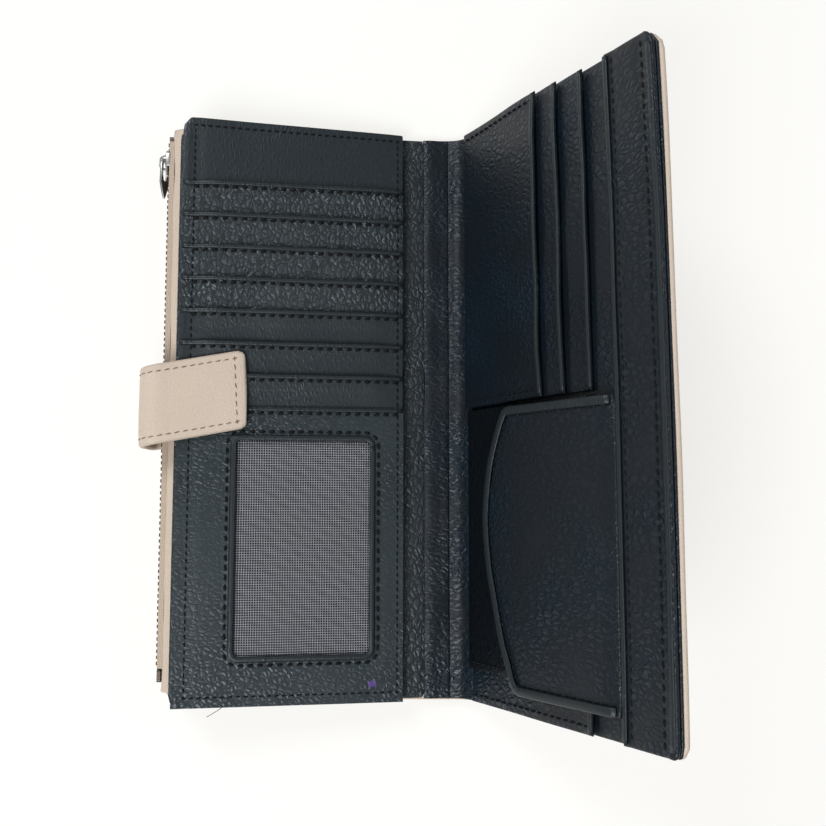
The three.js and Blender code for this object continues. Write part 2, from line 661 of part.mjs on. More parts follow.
// Inner spine lining, sagging between the two halves
function spineLining() {
  const left = -HALF_SPINE + EDGE_INSET;
  const right = HALF_SPINE - EDGE_INSET;
  const section = new THREE.Shape();
  section.moveTo(left, LINING_LEATHER * 3.1);
  section.quadraticCurveTo(-EDGE_INSET, LINING_LEATHER * 1.2, right, LINING_LEATHER * 4.1);
  section.lineTo(right - EDGE_INSET, LINING_LEATHER * 5.1);
  section.quadraticCurveTo(-EDGE_INSET, LINING_LEATHER * 2.3, left, LINING_LEATHER * 4.1);
  section.closePath();
  const end = HALF_LENGTH - EDGE_INSET * 3;
  return piece("spine_lining", alongY(section, -end, end), LEATHER_BLACK);
}

// Outer cover of the right half, with the place for the strap's magnet
function rightCover() {
  const half = HALF_LENGTH;
  const radii = { topRight: COVER_CORNER, bottomRight: COVER_CORNER / 2 };
  const outline = roundedOutline(SEAT_GAP, RIGHT_WIDTH, -half, half, radii);
  const top = LINING_TOP - LINING_LEATHER - SEAT_GAP;
  const cover = plate(outline, top - COVER_LEATHER, COVER_LEATHER);
  const x = RIGHT_WIDTH - COVER_MAGNET_FROM_EDGE;
  const depth = MAGNET_THICKNESS * 2;
  const recess = discAt(x, STRAP_CENTRE, top - COVER_LEATHER, MAGNET_RADIUS + MAGNET_CLEARANCE, depth, 0);
  return piece("cover_right", cut(cover, recess), LEATHER_BEIGE);
}

function coverMagnet() {
  const face = LINING_TOP - LINING_LEATHER - SEAT_GAP - COVER_LEATHER;
  const x = RIGHT_WIDTH - COVER_MAGNET_FROM_EDGE;
  const disc = discAt(x, STRAP_CENTRE, face, MAGNET_RADIUS, MAGNET_THICKNESS, 0);
  return piece("cover_magnet", disc, METAL_BRIGHT);
}

function rightLining() {
  const half = HALF_LENGTH - EDGE_INSET;
  const radii = { topRight: PANEL_CORNER, bottomRight: PANEL_CORNER / 2 };
  const outline = roundedOutline(SEAT_GAP, RIGHT_WIDTH - LINING_INSET, -half, half, radii);
  return piece("right_lining", plate(outline, LINING_TOP - LINING_LEATHER, LINING_LEATHER), CLOTH_BLACK);
}

// A pocket wall sewn down at the spine, with its free edge standing open
function pocketWall(name, edge, yLow, yHigh, rootRise, edgeRise) {
  const root = POCKET_ROOT;
  const section = closedShape([
    [root, rootRise],
    [edge, edgeRise],
    [edge, edgeRise + SLOT_LEATHER],
    [root, rootRise + SLOT_LEATHER],
  ]);
  return piece(name, alongY(section, yLow, yHigh), LEATHER_BLACK);
}

function outerBand() {
  const half = HALF_LENGTH - EDGE_INSET;
  const right = RIGHT_WIDTH - LINING_INSET;
  const radii = { topRight: PANEL_CORNER, bottomRight: PANEL_CORNER / 2 };
  const outline = roundedOutline(right - BAND_WIDTH, right, -half, half, radii);
  const underside = LINING_TOP + SEAT_GAP;
  return piece("outer_band", plate(outline, underside, BAND_LEATHER), LEATHER_BLACK);
}

// Flap plan: straight root at the band, a bowed free edge towards the spine
function flapOutline() {
  const top = DIVIDER_Y - DIVIDER_GAP - EDGE_INSET * 2;
  const bottom = top - FLAP_LENGTH;
  const place = ([back, share]) => new THREE.Vector2(FLAP_TIP + back, top - share * FLAP_LENGTH);
  const edge = FLAP_EDGE.map(place);
  const last = edge[edge.length - 1].x;
  const outline = new THREE.Shape();
  outline.moveTo(FLAP_ROOT, bottom);
  outline.lineTo(FLAP_ROOT, top);
  outline.lineTo(edge[0].x + 1, top);
  outline.lineTo(edge[0].x, edge[0].y);
  outline.splineThru(edge.slice(1));
  outline.quadraticCurveTo(last + FLAP_CORNER / 2, bottom, last + FLAP_CORNER, bottom);
  return outline;
}

function coinFlap() {
  const plan = extrude(flapOutline(), FLAP_TIP_RISE * 4).translate(0, 0, -FLAP_TIP_RISE);
  const section = closedShape([
    [FLAP_ROOT, FLAP_ROOT_RISE],
    [FLAP_ROOT, FLAP_ROOT_RISE + FLAP_LEATHER],
    [FLAP_TIP - FLAP_CORNER, FLAP_TIP_RISE + FLAP_LEATHER],
    [FLAP_TIP - FLAP_CORNER, FLAP_TIP_RISE],
  ]);
  return piece("coin_flap", common(alongY(section, -HALF_LENGTH, HALF_LENGTH), plan), LEATHER_BLACK);
}

function rightHalf() {
  const group = new THREE.Group();
  group.position.set(RIGHT_ORIGIN.x, 0, RIGHT_ORIGIN.z);
  group.rotation.y = -RIGHT_RAISE;
  group.add(rightCover(), coverMagnet(), rightLining(), outerBand(), coinFlap());
  const seat = LINING_TOP + SEAT_GAP;
  const step = SLOT_LEATHER + FOLD_GAP;
  const top = HALF_LENGTH - EDGE_INSET;
  const floor = DIVIDER_Y;
  group.add(pocketWall("upper_slot_3", THIRD_SLOT_EDGE, floor, top, seat, seat + step * 0.6));
  group.add(pocketWall("upper_slot_2", SECOND_SLOT_EDGE, floor, top, seat + step, seat + step * 2.1));
  group.add(pocketWall("upper_slot_1", FIRST_SLOT_EDGE, floor, top, seat + step * 2, seat + step * 3.6));
  const ceiling = DIVIDER_Y - DIVIDER_GAP;
  group.add(pocketWall("lower_slot", LOWER_SLOT_EDGE, -top, ceiling, seat, seat + step * 0.6));
  group.add(
    pocketWall("coin_pocket", COIN_POCKET_REACH, -COIN_POCKET_END, ceiling, seat + step, seat + step * 1.9),
  );
  return group;
}

const wallet = new THREE.Group();
wallet.add(leftCover(), cardPanel(), upperGusset(), lowerGusset());
wallet.add(pocketEnd("pocket_end_top", 1), pocketEnd("pocket_end_bottom", -1));
wallet.add(zipChain(), sliderFront(), sliderBack(), puller());
wallet.add(strapRoot(), strapArm(), strapMagnet());
wallet.add(spineCover(), spineLining(), rightHalf());

export default wallet;
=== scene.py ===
"""A long two-fold zip wallet, open on a pale table: black pebbled leather inside, beige leather outside."""

import logging
import math
from dataclasses import dataclass, field
from enum import Enum
from typing import Callable, Iterable, Sequence

import bmesh
import bpy
from bpy.types import Material, Mesh, Node, NodeSocket, NodeTree, Object
from mathutils import Matrix, Vector, noise


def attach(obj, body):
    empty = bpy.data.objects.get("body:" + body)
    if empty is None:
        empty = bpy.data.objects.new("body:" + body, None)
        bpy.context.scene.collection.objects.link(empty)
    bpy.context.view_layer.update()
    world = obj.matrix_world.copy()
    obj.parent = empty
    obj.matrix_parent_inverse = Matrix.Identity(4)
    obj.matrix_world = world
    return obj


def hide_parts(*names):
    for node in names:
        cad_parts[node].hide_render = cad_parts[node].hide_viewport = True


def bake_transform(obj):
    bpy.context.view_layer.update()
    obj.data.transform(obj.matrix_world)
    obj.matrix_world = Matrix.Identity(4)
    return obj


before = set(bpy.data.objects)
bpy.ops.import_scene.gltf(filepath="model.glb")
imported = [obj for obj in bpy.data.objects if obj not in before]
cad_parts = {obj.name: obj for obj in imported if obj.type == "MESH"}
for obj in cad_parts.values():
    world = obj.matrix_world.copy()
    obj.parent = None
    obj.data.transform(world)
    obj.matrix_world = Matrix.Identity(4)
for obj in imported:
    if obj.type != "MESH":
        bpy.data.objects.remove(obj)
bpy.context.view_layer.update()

LOG = logging.getLogger("zip_wallet")
MM = 0.001
SEED = 7
# What a wave texture runs through in one unit at scale 1.
WAVE_RADIANS = 20.0
# Corners nearer than this, in metres, count as one.
WELD = 1e-6

Spot = tuple[Vector, Vector]
Surface = Callable[[float, float], Spot]
Height = Callable[[float, float], float]
Limits = Callable[[float], tuple[float, float]]
Input = float | Sequence[float] | NodeSocket


class Body(Enum):
    """The bodies of the frame that pieces ride on."""

    LEFT = "left_half"
    SPINE = "spine"
    RIGHT = "right_half"
    FLAP = "coin_flap"
    STRAP = "strap"
    SLIDER = "zip_slider"
    PULLER = "zip_puller"


class Slot(Enum):
    """The record's material slots."""

    BEIGE = "beige_leather"
    BLACK = "black_leather"
    CLOTH = "black_cloth"
    NET = "grey_net"
    TAPE = "zip_tape"
    TEETH = "dark_metal"
    METAL = "bright_metal"


def linear(hex_colour: str) -> tuple[float, float, float, float]:
    """Turns an sRGB hex colour into linear RGBA.

    Args:
        hex_colour: Six hex digits.

    Returns:
        The linear colour with alpha 1.
    """
    parts = [int(hex_colour[i : i + 2], 16) / 255 for i in (0, 2, 4)]
    flat = [c / 12.92 if c <= 0.04045 else ((c + 0.055) / 1.055) ** 2.4 for c in parts]
    return (flat[0], flat[1], flat[2], 1.0)


def add_node(
    tree: NodeTree, kind: str, inputs: dict | None = None, **settings
) -> Node:
    """Adds a node, sets its properties, and fills or links its inputs.

    Args:
        tree: The tree that gets the node.
        kind: The node's type name.
        inputs: Input name or index to a value or an output socket.
        **settings: The node's own properties.

    Returns:
        The new node.
    """
    node = tree.nodes.new(kind)
    for key, value in settings.items():
        setattr(node, key, value)
    for key, value in (inputs or {}).items():
        if isinstance(value, NodeSocket):
            tree.links.new(value, node.inputs[key])
        else:
            node.inputs[key].default_value = value
    return node


def new_material(name: str) -> tuple[Material, NodeTree, Node]:
    """Makes a material with an empty tree and an output.

    Args:
        name: The finish's plain name.

    Returns:
        The material, its tree and its output node.
    """
    material = bpy.data.materials.new(name)
    material.use_nodes = True
    tree = material.node_tree
    tree.nodes.clear()
    return material, tree, add_node(tree, "ShaderNodeOutputMaterial")


def per_metre(size_mm: float) -> float:
    """Turns the size of a pattern's features into a texture scale, as whole features in a metre."""
    return float(round(1 / (size_mm * MM)))


def wave_scale(band_mm: float) -> float:
    """Gives the scale of a wave texture with bands as wide as the gaps between them."""
    return math.pi / (band_mm * MM) / WAVE_RADIANS


def noise_node(
    tree: NodeTree, place: NodeSocket, size_mm: float, detail: float
) -> Node:
    """Adds a noise whose patches have a size in mm, and returns the node."""
    scale = per_metre(size_mm)
    return add_node(tree, "ShaderNodeTexNoise", {"Vector": place, "Scale": scale, "Detail": detail})


def maths(tree: NodeTree, operation: str, *values: Input) -> NodeSocket:
    """Adds a maths node on values or sockets, and returns its result."""
    return add_node(tree, "ShaderNodeMath", dict(enumerate(values)), operation=operation).outputs[0]


def scaled(tree: NodeTree, vector: Input, by: Input) -> NodeSocket:
    """Multiplies a vector by a number or socket, and returns the result."""
    inputs = {0: vector, "Scale": by}
    return add_node(tree, "ShaderNodeVectorMath", inputs, operation="SCALE").outputs[0]


def mixed(tree: NodeTree, share: Input, one: Input, other: Input) -> NodeSocket:
    """Mixes two colours by a share, and returns the result."""
    inputs = {0: share, 6: one, 7: other}
    return add_node(tree, "ShaderNodeMix", inputs, data_type="RGBA").outputs[2]


def ranged(
    tree: NodeTree,
    value: NodeSocket,
    start: tuple[float, float] = (0.0, 1.0),
    end: tuple[float, float] = (0.0, 1.0),
    kind: str = "LINEAR",
) -> NodeSocket:
    """Maps a value from one range to another.

    Args:
        tree: The tree.
        value: The value's socket.
        start: The range that is read.
        end: What both ends of it become.
        kind: The way between them.

    Returns:
        The mapped value.
    """
    inputs = {"Value": value, "From Min": start[0], "From Max": start[1], "To Min": end[0], "To Max": end[1]}
    return add_node(tree, "ShaderNodeMapRange", inputs, interpolation_type=kind).outputs[0]


def shade(tree: NodeTree, output: Node, inputs: dict) -> None:
    """Ends a material in a Principled shader with these inputs."""
    shader = add_node(tree, "ShaderNodeBsdfPrincipled", inputs)
    tree.links.new(shader.outputs[0], output.inputs[0])


@dataclass(frozen=True)
class Leather:
    """Pebbled or fine-grained leather: a chrome-tanned hide with a printed, pigmented grain.

    The grain gives small rounded pebbles between fine creases, the finish a soft sheen that breaks
    up over them, and use rubs the pebble tops smoother than the creases. The creases are darkened
    with painted shade, and large patches are lightened with painted reflected light.

    Attributes:
        name: The finish's plain name.
        colour: The pebbles' colour.
        crease_shade_colour: Painted shade: the darker colour in the creases.
        reflection_patch_colour: Painted reflection: the lighter colour of large patches of reflected light.
        grain_mm: Size of a pebble.
        grain_height_mm: Height of a pebble.
        roughness: Middle roughness.
        specular: Specular level of the pebbles.
        smooth_patches: How much of the grain is gone where the leather is rubbed.
        crease_shade_share: How much of the painted crease shade shows in a crease.
        stretch: How the grain is drawn along each axis.
        slant_deg: Turn of that drawing.
        mark_at_mm: Place of a smudge of ink, if any.
        mark_colour: The ink's colour.
        mark_size_mm: The smudge's radius.
        warp_mm: Size of the bends in the creases.
        warp_share: Depth of the bends as a share of a pebble.
        patch_mm: Size of the rubbed patches and of the patches of painted reflection.
        pore_mm: Size of the pores on the pebbles.
        pore_share: Height of the pores as a share of the grain's height.
        gloss: How much rougher the creases are, and how much smoother the tops.
        crease_sheen: Share of the specular level that a full crease keeps.
    """

    name: str
    colour: str
    crease_shade_colour: str
    reflection_patch_colour: str
    grain_mm: float
    grain_height_mm: float
    roughness: float
    specular: float
    smooth_patches: float = 0.0
    crease_shade_share: float = 0.6
    stretch: tuple[float, float, float] = (1.0, 1.0, 1.0)
    slant_deg: float = 0.0
    mark_at_mm: tuple[float, float, float] | None = None
    mark_colour: str = "5b3f8a"
    mark_size_mm: float = 1.3
    warp_mm: float = 2.222
    warp_share: float = 0.9
    patch_mm: float = 26.32
    pore_mm: float = 0.3846
    pore_share: float = 0.25
    gloss: tuple[float, float] = (0.12, 0.08)
    crease_sheen: float = 0.3

    def build(self) -> Material:
        """Builds the material on Object coordinates.

        Returns:
            The material.
        """
        material, tree, output = new_material(self.name)
        place = add_node(tree, "ShaderNodeTexCoord").outputs["Object"]
        turn = (0, 0, math.radians(self.slant_deg))
        drawn = add_node(
            tree, "ShaderNodeMapping", {"Vector": place, "Rotation": turn, "Scale": self.stretch}
        )
        warp = noise_node(tree, place, self.warp_mm, 2.0)
        shift = scaled(tree, warp.outputs["Color"], self.grain_mm * MM * self.warp_share)
        bent = add_node(tree, "ShaderNodeVectorMath", {0: drawn.outputs[0], 1: shift}, operation="ADD")
        cells = add_node(
            tree,
            "ShaderNodeTexVoronoi",
            {"Vector": bent.outputs[0], "Scale": 1 / (self.grain_mm * MM), "Randomness": 0.95},
            feature="DISTANCE_TO_EDGE",
        ).outputs["Distance"]
        pebble = ranged(tree, cells, (0.0, 0.36), kind="SMOOTHSTEP")
        crease = ranged(tree, cells, (0.01, 0.18), (self.crease_shade_share, 0.0), "SMOOTHSTEP")
        patches = noise_node(tree, place, self.patch_mm, 3.0).outputs["Fac"]
        rubbed = ranged(tree, patches, (0.35, 0.65), (1 - self.smooth_patches, 1.0))
        pores = noise_node(tree, place, self.pore_mm, 3.0)
        creased = maths(tree, "MULTIPLY", crease, rubbed)
        grain = maths(tree, "MULTIPLY", pebble, rubbed)
        height = maths(tree, "MULTIPLY_ADD", pores.outputs["Fac"], self.pore_share, grain)
        bump = add_node(
            tree,
            "ShaderNodeBump",
            {"Height": height, "Distance": self.grain_height_mm * MM, "Strength": 1.0},
        )
        # Painted shade: the creases take the darker crease colour, less where use has rubbed the grain
        # smooth.
        worn_and_shaded = mixed(tree, creased, linear(self.colour), linear(self.crease_shade_colour))
        # Painted reflection: large patches lighten the leather towards the reflection patch colour.
        reflection_share = ranged(tree, patches, (0.4, 0.75), (0.0, 0.55))
        shown = mixed(tree, reflection_share, worn_and_shaded, linear(self.reflection_patch_colour))
        if self.mark_at_mm:
            shown = self.ink_mark(tree, place, shown)
        rough, smooth = self.gloss
        shade(
            tree,
            output,
            {
                "Base Color": shown,
                "Roughness": ranged(tree, height, end=(self.roughness + rough, self.roughness - smooth)),
                "Normal": bump.outputs[0],
                "IOR": 1.46,
                "Specular IOR Level": ranged(
                    tree, creased, end=(self.specular, self.specular * self.crease_sheen)
                ),
            },
        )
        return material

    def ink_mark(
        self, tree: NodeTree, place: NodeSocket, under: NodeSocket
    ) -> NodeSocket:
        """Adds a small smudge of ink where the leather has been touched by a pen.

        Args:
            tree: The material's tree.
            place: Object coordinates.
            under: The leather's colour.

        Returns:
            The colour with the mark on it.
        """
        centre = tuple(c * MM for c in self.mark_at_mm)
        size = self.mark_size_mm * MM
        away = add_node(tree, "ShaderNodeVectorMath", {0: place, 1: centre}, operation="DISTANCE")
        ragged = noise_node(tree, place, 1.111, 2.0)
        reach = maths(tree, "MULTIPLY_ADD", ragged.outputs["Fac"], size, away.outputs["Value"])
        mask = ranged(tree, reach, (size * 1.5, size * 1.2), (0.0, 0.8))
        return mixed(tree, mask, under, linear(self.mark_colour))


@dataclass(frozen=True)
class Cloth:
    """Plain woven lining or tape: matt threads over and under each other."""

    name: str
    colour: str
    shade: str
    thread_mm: float
    roughness: float = 0.85

    def build(self) -> Material:
        """Builds the weave from two crossed waves on Object coordinates.

        Returns:
            The material.
        """
        material, tree, output = new_material(self.name)
        place = add_node(tree, "ShaderNodeTexCoord").outputs["Object"]
        turned = add_node(tree, "ShaderNodeMapping", {"Vector": place, "Rotation": (0.3, 0.4, 0.0)})
        bands = {"Vector": turned.outputs[0], "Scale": wave_scale(self.thread_mm)}
        warp = add_node(tree, "ShaderNodeTexWave", bands, bands_direction="X")
        weft = add_node(tree, "ShaderNodeTexWave", bands, bands_direction="Y")
        both = maths(tree, "MULTIPLY", warp.outputs["Fac"], weft.outputs["Fac"])
        depth = self.thread_mm * MM * 0.3
        bump = add_node(tree, "ShaderNodeBump", {"Height": both, "Distance": depth, "Strength": 0.8})
        # Painted shade: the hollows between the threads take the darker shade colour.
        colour = mixed(tree, both, linear(self.shade), linear(self.colour))
        shade(
            tree, output, {"Base Color": colour, "Roughness": self.roughness, "Normal": bump.outputs[0]}
        )
        return material


@dataclass(frozen=True)
class Thread:
    """Bonded polyester sewing thread: three plies twisted together, with a slight shine."""

    name: str
    colour: str
    shade: str
    twist_mm: float = 0.5
    ply_mm: float = 0.08

    def build(self) -> Material:
        """Builds the plies as fine slanted bands.

        Returns:
            The material.
        """
        material, tree, output = new_material(self.name)
        place = add_node(tree, "ShaderNodeTexCoord").outputs["Object"]
        turned = add_node(tree, "ShaderNodeMapping", {"Vector": place, "Rotation": (0.6, 0.5, 0.8)})
        bands = {"Vector": turned.outputs[0], "Scale": wave_scale(self.twist_mm)}
        plies = add_node(tree, "ShaderNodeTexWave", bands).outputs["Fac"]
        bump = add_node(tree, "ShaderNodeBump", {"Height": plies, "Distance": self.ply_mm * MM})
        # Painted shade: the hollows between the plies take the darker shade colour.
        shade(
            tree,
            output,
            {
                "Base Color": mixed(tree, plies, linear(self.shade), linear(self.colour)),
                "Roughness": 0.7,
                "Normal": bump.outputs[0],
                "Specular IOR Level": 0.25,
            },
        )
        return material


@dataclass(frozen=True)
class Metal:
    """Die-cast zinc, plated and tumbled: even shine with fine wear in its colour."""

    name: str
    colour: str
    worn_and_shaded: str
    roughness: float

    def build(self) -> Material:
        """Builds the plating with faint wear patches.

        Returns:
            The material.
        """
        material, tree, output = new_material(self.name)
        place = add_node(tree, "ShaderNodeTexCoord").outputs["Object"]
        wear = noise_node(tree, place, 1.111, 4.0).outputs["Fac"]
        rough = ranged(tree, wear, end=(self.roughness + 0.1, self.roughness - 0.05))
        colour = mixed(tree, wear, linear(self.worn_and_shaded), linear(self.colour))
        shade(tree, output, {"Base Color": colour, "Metallic": 1.0, "Roughness": rough})
        return material


BLACK = Leather(
    name="black_pebbled_leather",
    colour="292f31",
    crease_shade_colour="010202",
    reflection_patch_colour="30373a",
    grain_mm=1.75,
    grain_height_mm=0.28,
    roughness=0.37,
    specular=0.55,
    smooth_patches=0.5,
    crease_shade_share=0.85,
    stretch=(1.0, 0.6, 1.0),
    slant_deg=8.0,
)
BLACK_SMOOTH = Leather(
    name="black_smooth_leather",
    colour="1b2224",
    crease_shade_colour="070a0b",
    reflection_patch_colour="242b2d",
    grain_mm=1.2,
    grain_height_mm=0.06,
    roughness=0.36,
    specular=0.5,
    smooth_patches=0.75,
    crease_shade_share=0.35,
    stretch=(1.0, 0.45, 1.0),
    slant_deg=50.0,
)
BLACK_MARKED = Leather(
    name="black_leather_with_ink",
    colour="242c2e",
    crease_shade_colour="020303",
    reflection_patch_colour="2b3336",
    grain_mm=1.6,
    grain_height_mm=0.17,
    roughness=0.36,
    specular=0.55,
    smooth_patches=0.75,
    crease_shade_share=0.65,
    stretch=(0.8, 1.0, 1.0),
    slant_deg=20.0,
    mark_at_mm=(-25.6, -90.9, 9.6),
)
# Painted shade and painted cool reflection: a darker, bluer copy of the black leather for the raised half
# and the spine lining.
BLACK_COOL = Leather(
    name="black_leather_raised_half",
    colour="0a1219",
    crease_shade_colour="020406",
    reflection_patch_colour="10212b",
    grain_mm=1.9,
    grain_height_mm=0.2,
    roughness=0.36,
    specular=0.46,
    smooth_patches=0.8,
    crease_shade_share=0.5,
    stretch=(0.7, 1.0, 0.7),
    slant_deg=15.0,
)
BLACK_DEEP = Leather(
    name="black_leather_in_shade",
    colour="03060a",
    crease_shade_colour="010102",
    reflection_patch_colour="060d13",
    grain_mm=1.8,
    grain_height_mm=0.14,
    roughness=0.45,
    specular=0.28,
    smooth_patches=0.7,
    crease_shade_share=0.3,
    stretch=(1.0, 0.6, 1.0),
    slant_deg=30.0,
)
BEIGE = Leather(
    name="beige_grained_leather",
    colour="c9b5a1",
    crease_shade_colour="b09a86",
    reflection_patch_colour="cebaa8",
    grain_mm=0.8,
    grain_height_mm=0.06,
    roughness=0.44,
    specular=0.5,
    smooth_patches=0.5,
    crease_shade_share=0.5,
)
LINING = Cloth(name="black_lining_cloth", colour="1a1a1d", shade="0c0c0e", thread_mm=0.45)
TAPE = Cloth(name="beige_zip_tape", colour="c6b39f", shade="b09c88", thread_mm=0.4)
NET = Cloth(name="grey_net_thread", colour="c2c1c4", shade="8f8e92", thread_mm=0.3, roughness=0.5)
BLACK_THREAD = Thread(name="black_thread", colour="050506", shade="010101")
BROWN_THREAD = Thread(name="brown_thread", colour="94735b", shade="6c4f3d")
TEETH = Metal(name="dark_zip_teeth", colour="5d534b", worn_and_shaded="38322d", roughness=0.34)
SILVER = Metal(name="plated_zinc", colour="cfccc8", worn_and_shaded="a5a19c", roughness=0.34)


def built_once(finish: Leather | Cloth | Thread | Metal) -> Material:
    """A field whose material is built when the set of finishes is made."""
    return field(default_factory=finish.build)


@dataclass
class Finishes:
    """Every finish of the wallet, built once."""

    black: Material = built_once(BLACK)
    black_smooth: Material = built_once(BLACK_SMOOTH)
    black_marked: Material = built_once(BLACK_MARKED)
    black_cool: Material = built_once(BLACK_COOL)
    black_deep: Material = built_once(BLACK_DEEP)
    beige: Material = built_once(BEIGE)
    lining: Material = built_once(LINING)
    tape: Material = built_once(TAPE)
    net: Material = built_once(NET)
    black_thread: Material = built_once(BLACK_THREAD)
    brown_thread: Material = built_once(BROWN_THREAD)
    teeth: Material = built_once(TEETH)
    silver: Material = built_once(SILVER)


def link(
    mesh: Mesh, name: str, material: Material, smooth: bool = True
) -> Object:
    """Puts a mesh into the scene as an object at the origin.

    Args:
        mesh: The mesh, already in place.
        name: The object's name.
        material: Its finish.
        smooth: Whether its faces are shaded smooth.

    Returns:
        The new object.
    """
    mesh.materials.clear()
    mesh.materials.append(material)
    if smooth:
        mesh.shade_smooth()
    else:
        mesh.shade_flat()
    return in_scene(name, mesh)


def in_scene(name: str, data: bpy.types.ID) -> Object:
    """Makes an object from its data and puts it into the scene."""
    piece = bpy.data.objects.new(name, data)
    bpy.context.scene.collection.objects.link(piece)
    return piece


def kept(build: bmesh.types.BMesh, mesh: Mesh) -> Mesh:
    """Writes an edited mesh into its data, frees the edit, and returns the data."""
    build.to_mesh(mesh)
    build.free()
    return mesh


def round_edges(piece: Object, width_mm: float, angle_deg: float) -> None:
    """Gives a piece rounded edges wherever its faces meet at more than an angle."""
    rounding = piece.modifiers.new("rounding", "BEVEL")
    rounding.width = width_mm * MM
    rounding.segments = 3
    rounding.angle_limit = math.radians(angle_deg)


def place(piece: Object, body: Body, slot: Slot, *nodes: str) -> Object:
    """Rides a finished piece on its body and hides the CAD nodes that it replaces.

    Args:
        piece: The piece.
        body: The body it moves with.
        slot: The record's material slot; not used.
        *nodes: The CAD nodes that it replaces.

    Returns:
        The same piece.
    """
    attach(piece, body.value)
    if nodes:
        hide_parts(*nodes)
    LOG.info("%s on %s, %d faces", piece.name, body.value, len(piece.data.polygons))
    return piece


def clamped(value: float) -> float:
    """Holds a share between 0 and 1."""
    return min(1.0, max(0.0, value))


@dataclass(frozen=True)
class Level:
    """A level turned about the wallet's long axis, in mm, which may twist towards its upper end."""

    x: float
    z: float
    rise_deg: float
    twist_deg: float = 0.0
    half: float = 97.5

    def angle(self, across: float, along: float) -> float:
        """Gives the turn at a place, in radians; the twist grows away from the fold."""
        share = clamped((along + self.half) / (2 * self.half))
        loose = clamped(across / 30)
        return math.radians(self.rise_deg + self.twist_deg * share**3 * loose)

    def point(self, across: float, along: float, up: float) -> Vector:
        """Gives the place of a point of the level, in metres."""
        angle = self.angle(across, along)
        east = Vector((math.cos(angle), 0, math.sin(angle)))
        north = Vector((-math.sin(angle), 0, math.cos(angle)))
        return (Vector((self.x, along, self.z)) + east * across + north * up) * MM

    @property
    def normal(self) -> Vector:
        """The direction that the level faces."""
        angle = math.radians(self.rise_deg)
        return Vector((-math.sin(angle), 0, math.cos(angle)))


def ripple(across: float, along: float, size: float, height: float, seed: float = 0.0) -> float:
    """A soft unevenness of leather that has seen use.

    Args:
        across: Place across the piece, in mm.
        along: Place along it, in mm.
        size: The ripples' width in mm.
        height: Their height in mm.
        seed: Where in the noise the piece lies.

    Returns:
        The height at that place in mm.
    """
    return noise.noise(Vector((across / size, along / size, seed + SEED))) * height


def groove(distance: float, depth: float, width: float = 0.9) -> float:
    """The dip that a row of stitches pulls into leather, in mm."""
    return -depth * math.exp(-((distance / width) ** 2))


def graded(low: float, high: float, step: float, edge: float) -> list[float]:
    """Places from low to high, closer together within one edge of both ends.

    Args:
        low: The first place.
        high: The last place.
        step: The step in the middle.
        edge: The depth of the rounded edge.

    Returns:
        The places in order.
    """
    near = [0.0, 0.12 * edge, 0.4 * edge, edge]
    inner = max(2, round((high - low - 2 * edge) / step))
    span = high - low - 2 * edge
    middle = [low + edge + span * i / inner for i in range(1, inner)]
    return [low + n for n in near] + middle + [high - n for n in reversed(near)]


@dataclass
class Sheet:
    """A cut piece of leather with rounded edges, laid on any surface.

    Attributes:
        surface: Gives the middle of the leather at a place, in metres, and its normal.
        low: First place along the piece.
        high: Last place along it.
        limits: Gives both edges across the piece at a place along it.
        thickness: Gives the leather's thickness in mm.
        step: Mesh step in mm.
    """

    surface: Surface
    low: float
    high: float
    limits: Limits
    thickness: Height
    step: float = 2.0

    def mesh(self, name: str) -> Mesh:
        """Builds the closed mesh: an upper and a lower skin that meet in rounded edges.

        Args:
            name: The mesh's name.

        Returns:
            The mesh in place, in metres.
        """
        edge = self.thickness(sum(self.limits(self.low)) / 2, self.low) / 2
        rows = graded(self.low, self.high, self.step, edge)
        widest = max((self.limits(y)[1] - self.limits(y)[0]) for y in rows)
        shares = [x / widest for x in graded(0.0, widest, self.step, edge)]
        build = bmesh.new()
        skins: dict[int, list[list[bmesh.types.BMVert]]] = {1: [], -1: []}
        for y in rows:
            left, right = self.limits(y)
            end = min(y - self.low, self.high - y)
            for side in (1, -1):
                row = []
                for share in shares:
                    x = left + (right - left) * share
                    depth = min(end, x - left, right - x)
                    thick = self.thickness(x, y)
                    round_off = math.sqrt(max(0.0, 1 - (1 - min(1.0, depth / (thick / 2))) ** 2))
                    middle, normal = self.surface(x, y)
                    row.append(build.verts.new(middle + normal * (side * thick / 2 * round_off * MM)))
                skins[side].append(row)
        for side, skin in skins.items():
            for j in range(len(rows) - 1):
                for i in range(len(shares) - 1):
                    corners = [skin[j][i], skin[j][i + 1], skin[j + 1][i + 1], skin[j + 1][i]]
                    build.faces.new(corners if side > 0 else corners[::-1])
        bmesh.ops.remove_doubles(build, verts=build.verts, dist=WELD)
        bmesh.ops.dissolve_degenerate(build, edges=build.edges, dist=WELD / 10)
        return kept(build, bpy.data.meshes.new(name))

    def laid(
        self, name: str, finish: Material, body: Body, slot: Slot, *nodes: str
    ) -> Object:
        """Builds the piece and rides it on its body.

        Args:
            name: The piece's name.
            finish: Its leather.
            body: The body it moves with.
            slot: The record's material slot.
            *nodes: The CAD nodes that it replaces.

        Returns:
            The piece.
        """
        return place(link(self.mesh(name), name, finish), body, slot, *nodes)


def straight(left: float, right: float) -> Limits:
    """Edges of a piece with square corners."""
    return lambda _along: (left, right)


def even(thickness: float) -> Height:
    """The same thickness everywhere, in mm."""
    return lambda _across, _along: thickness


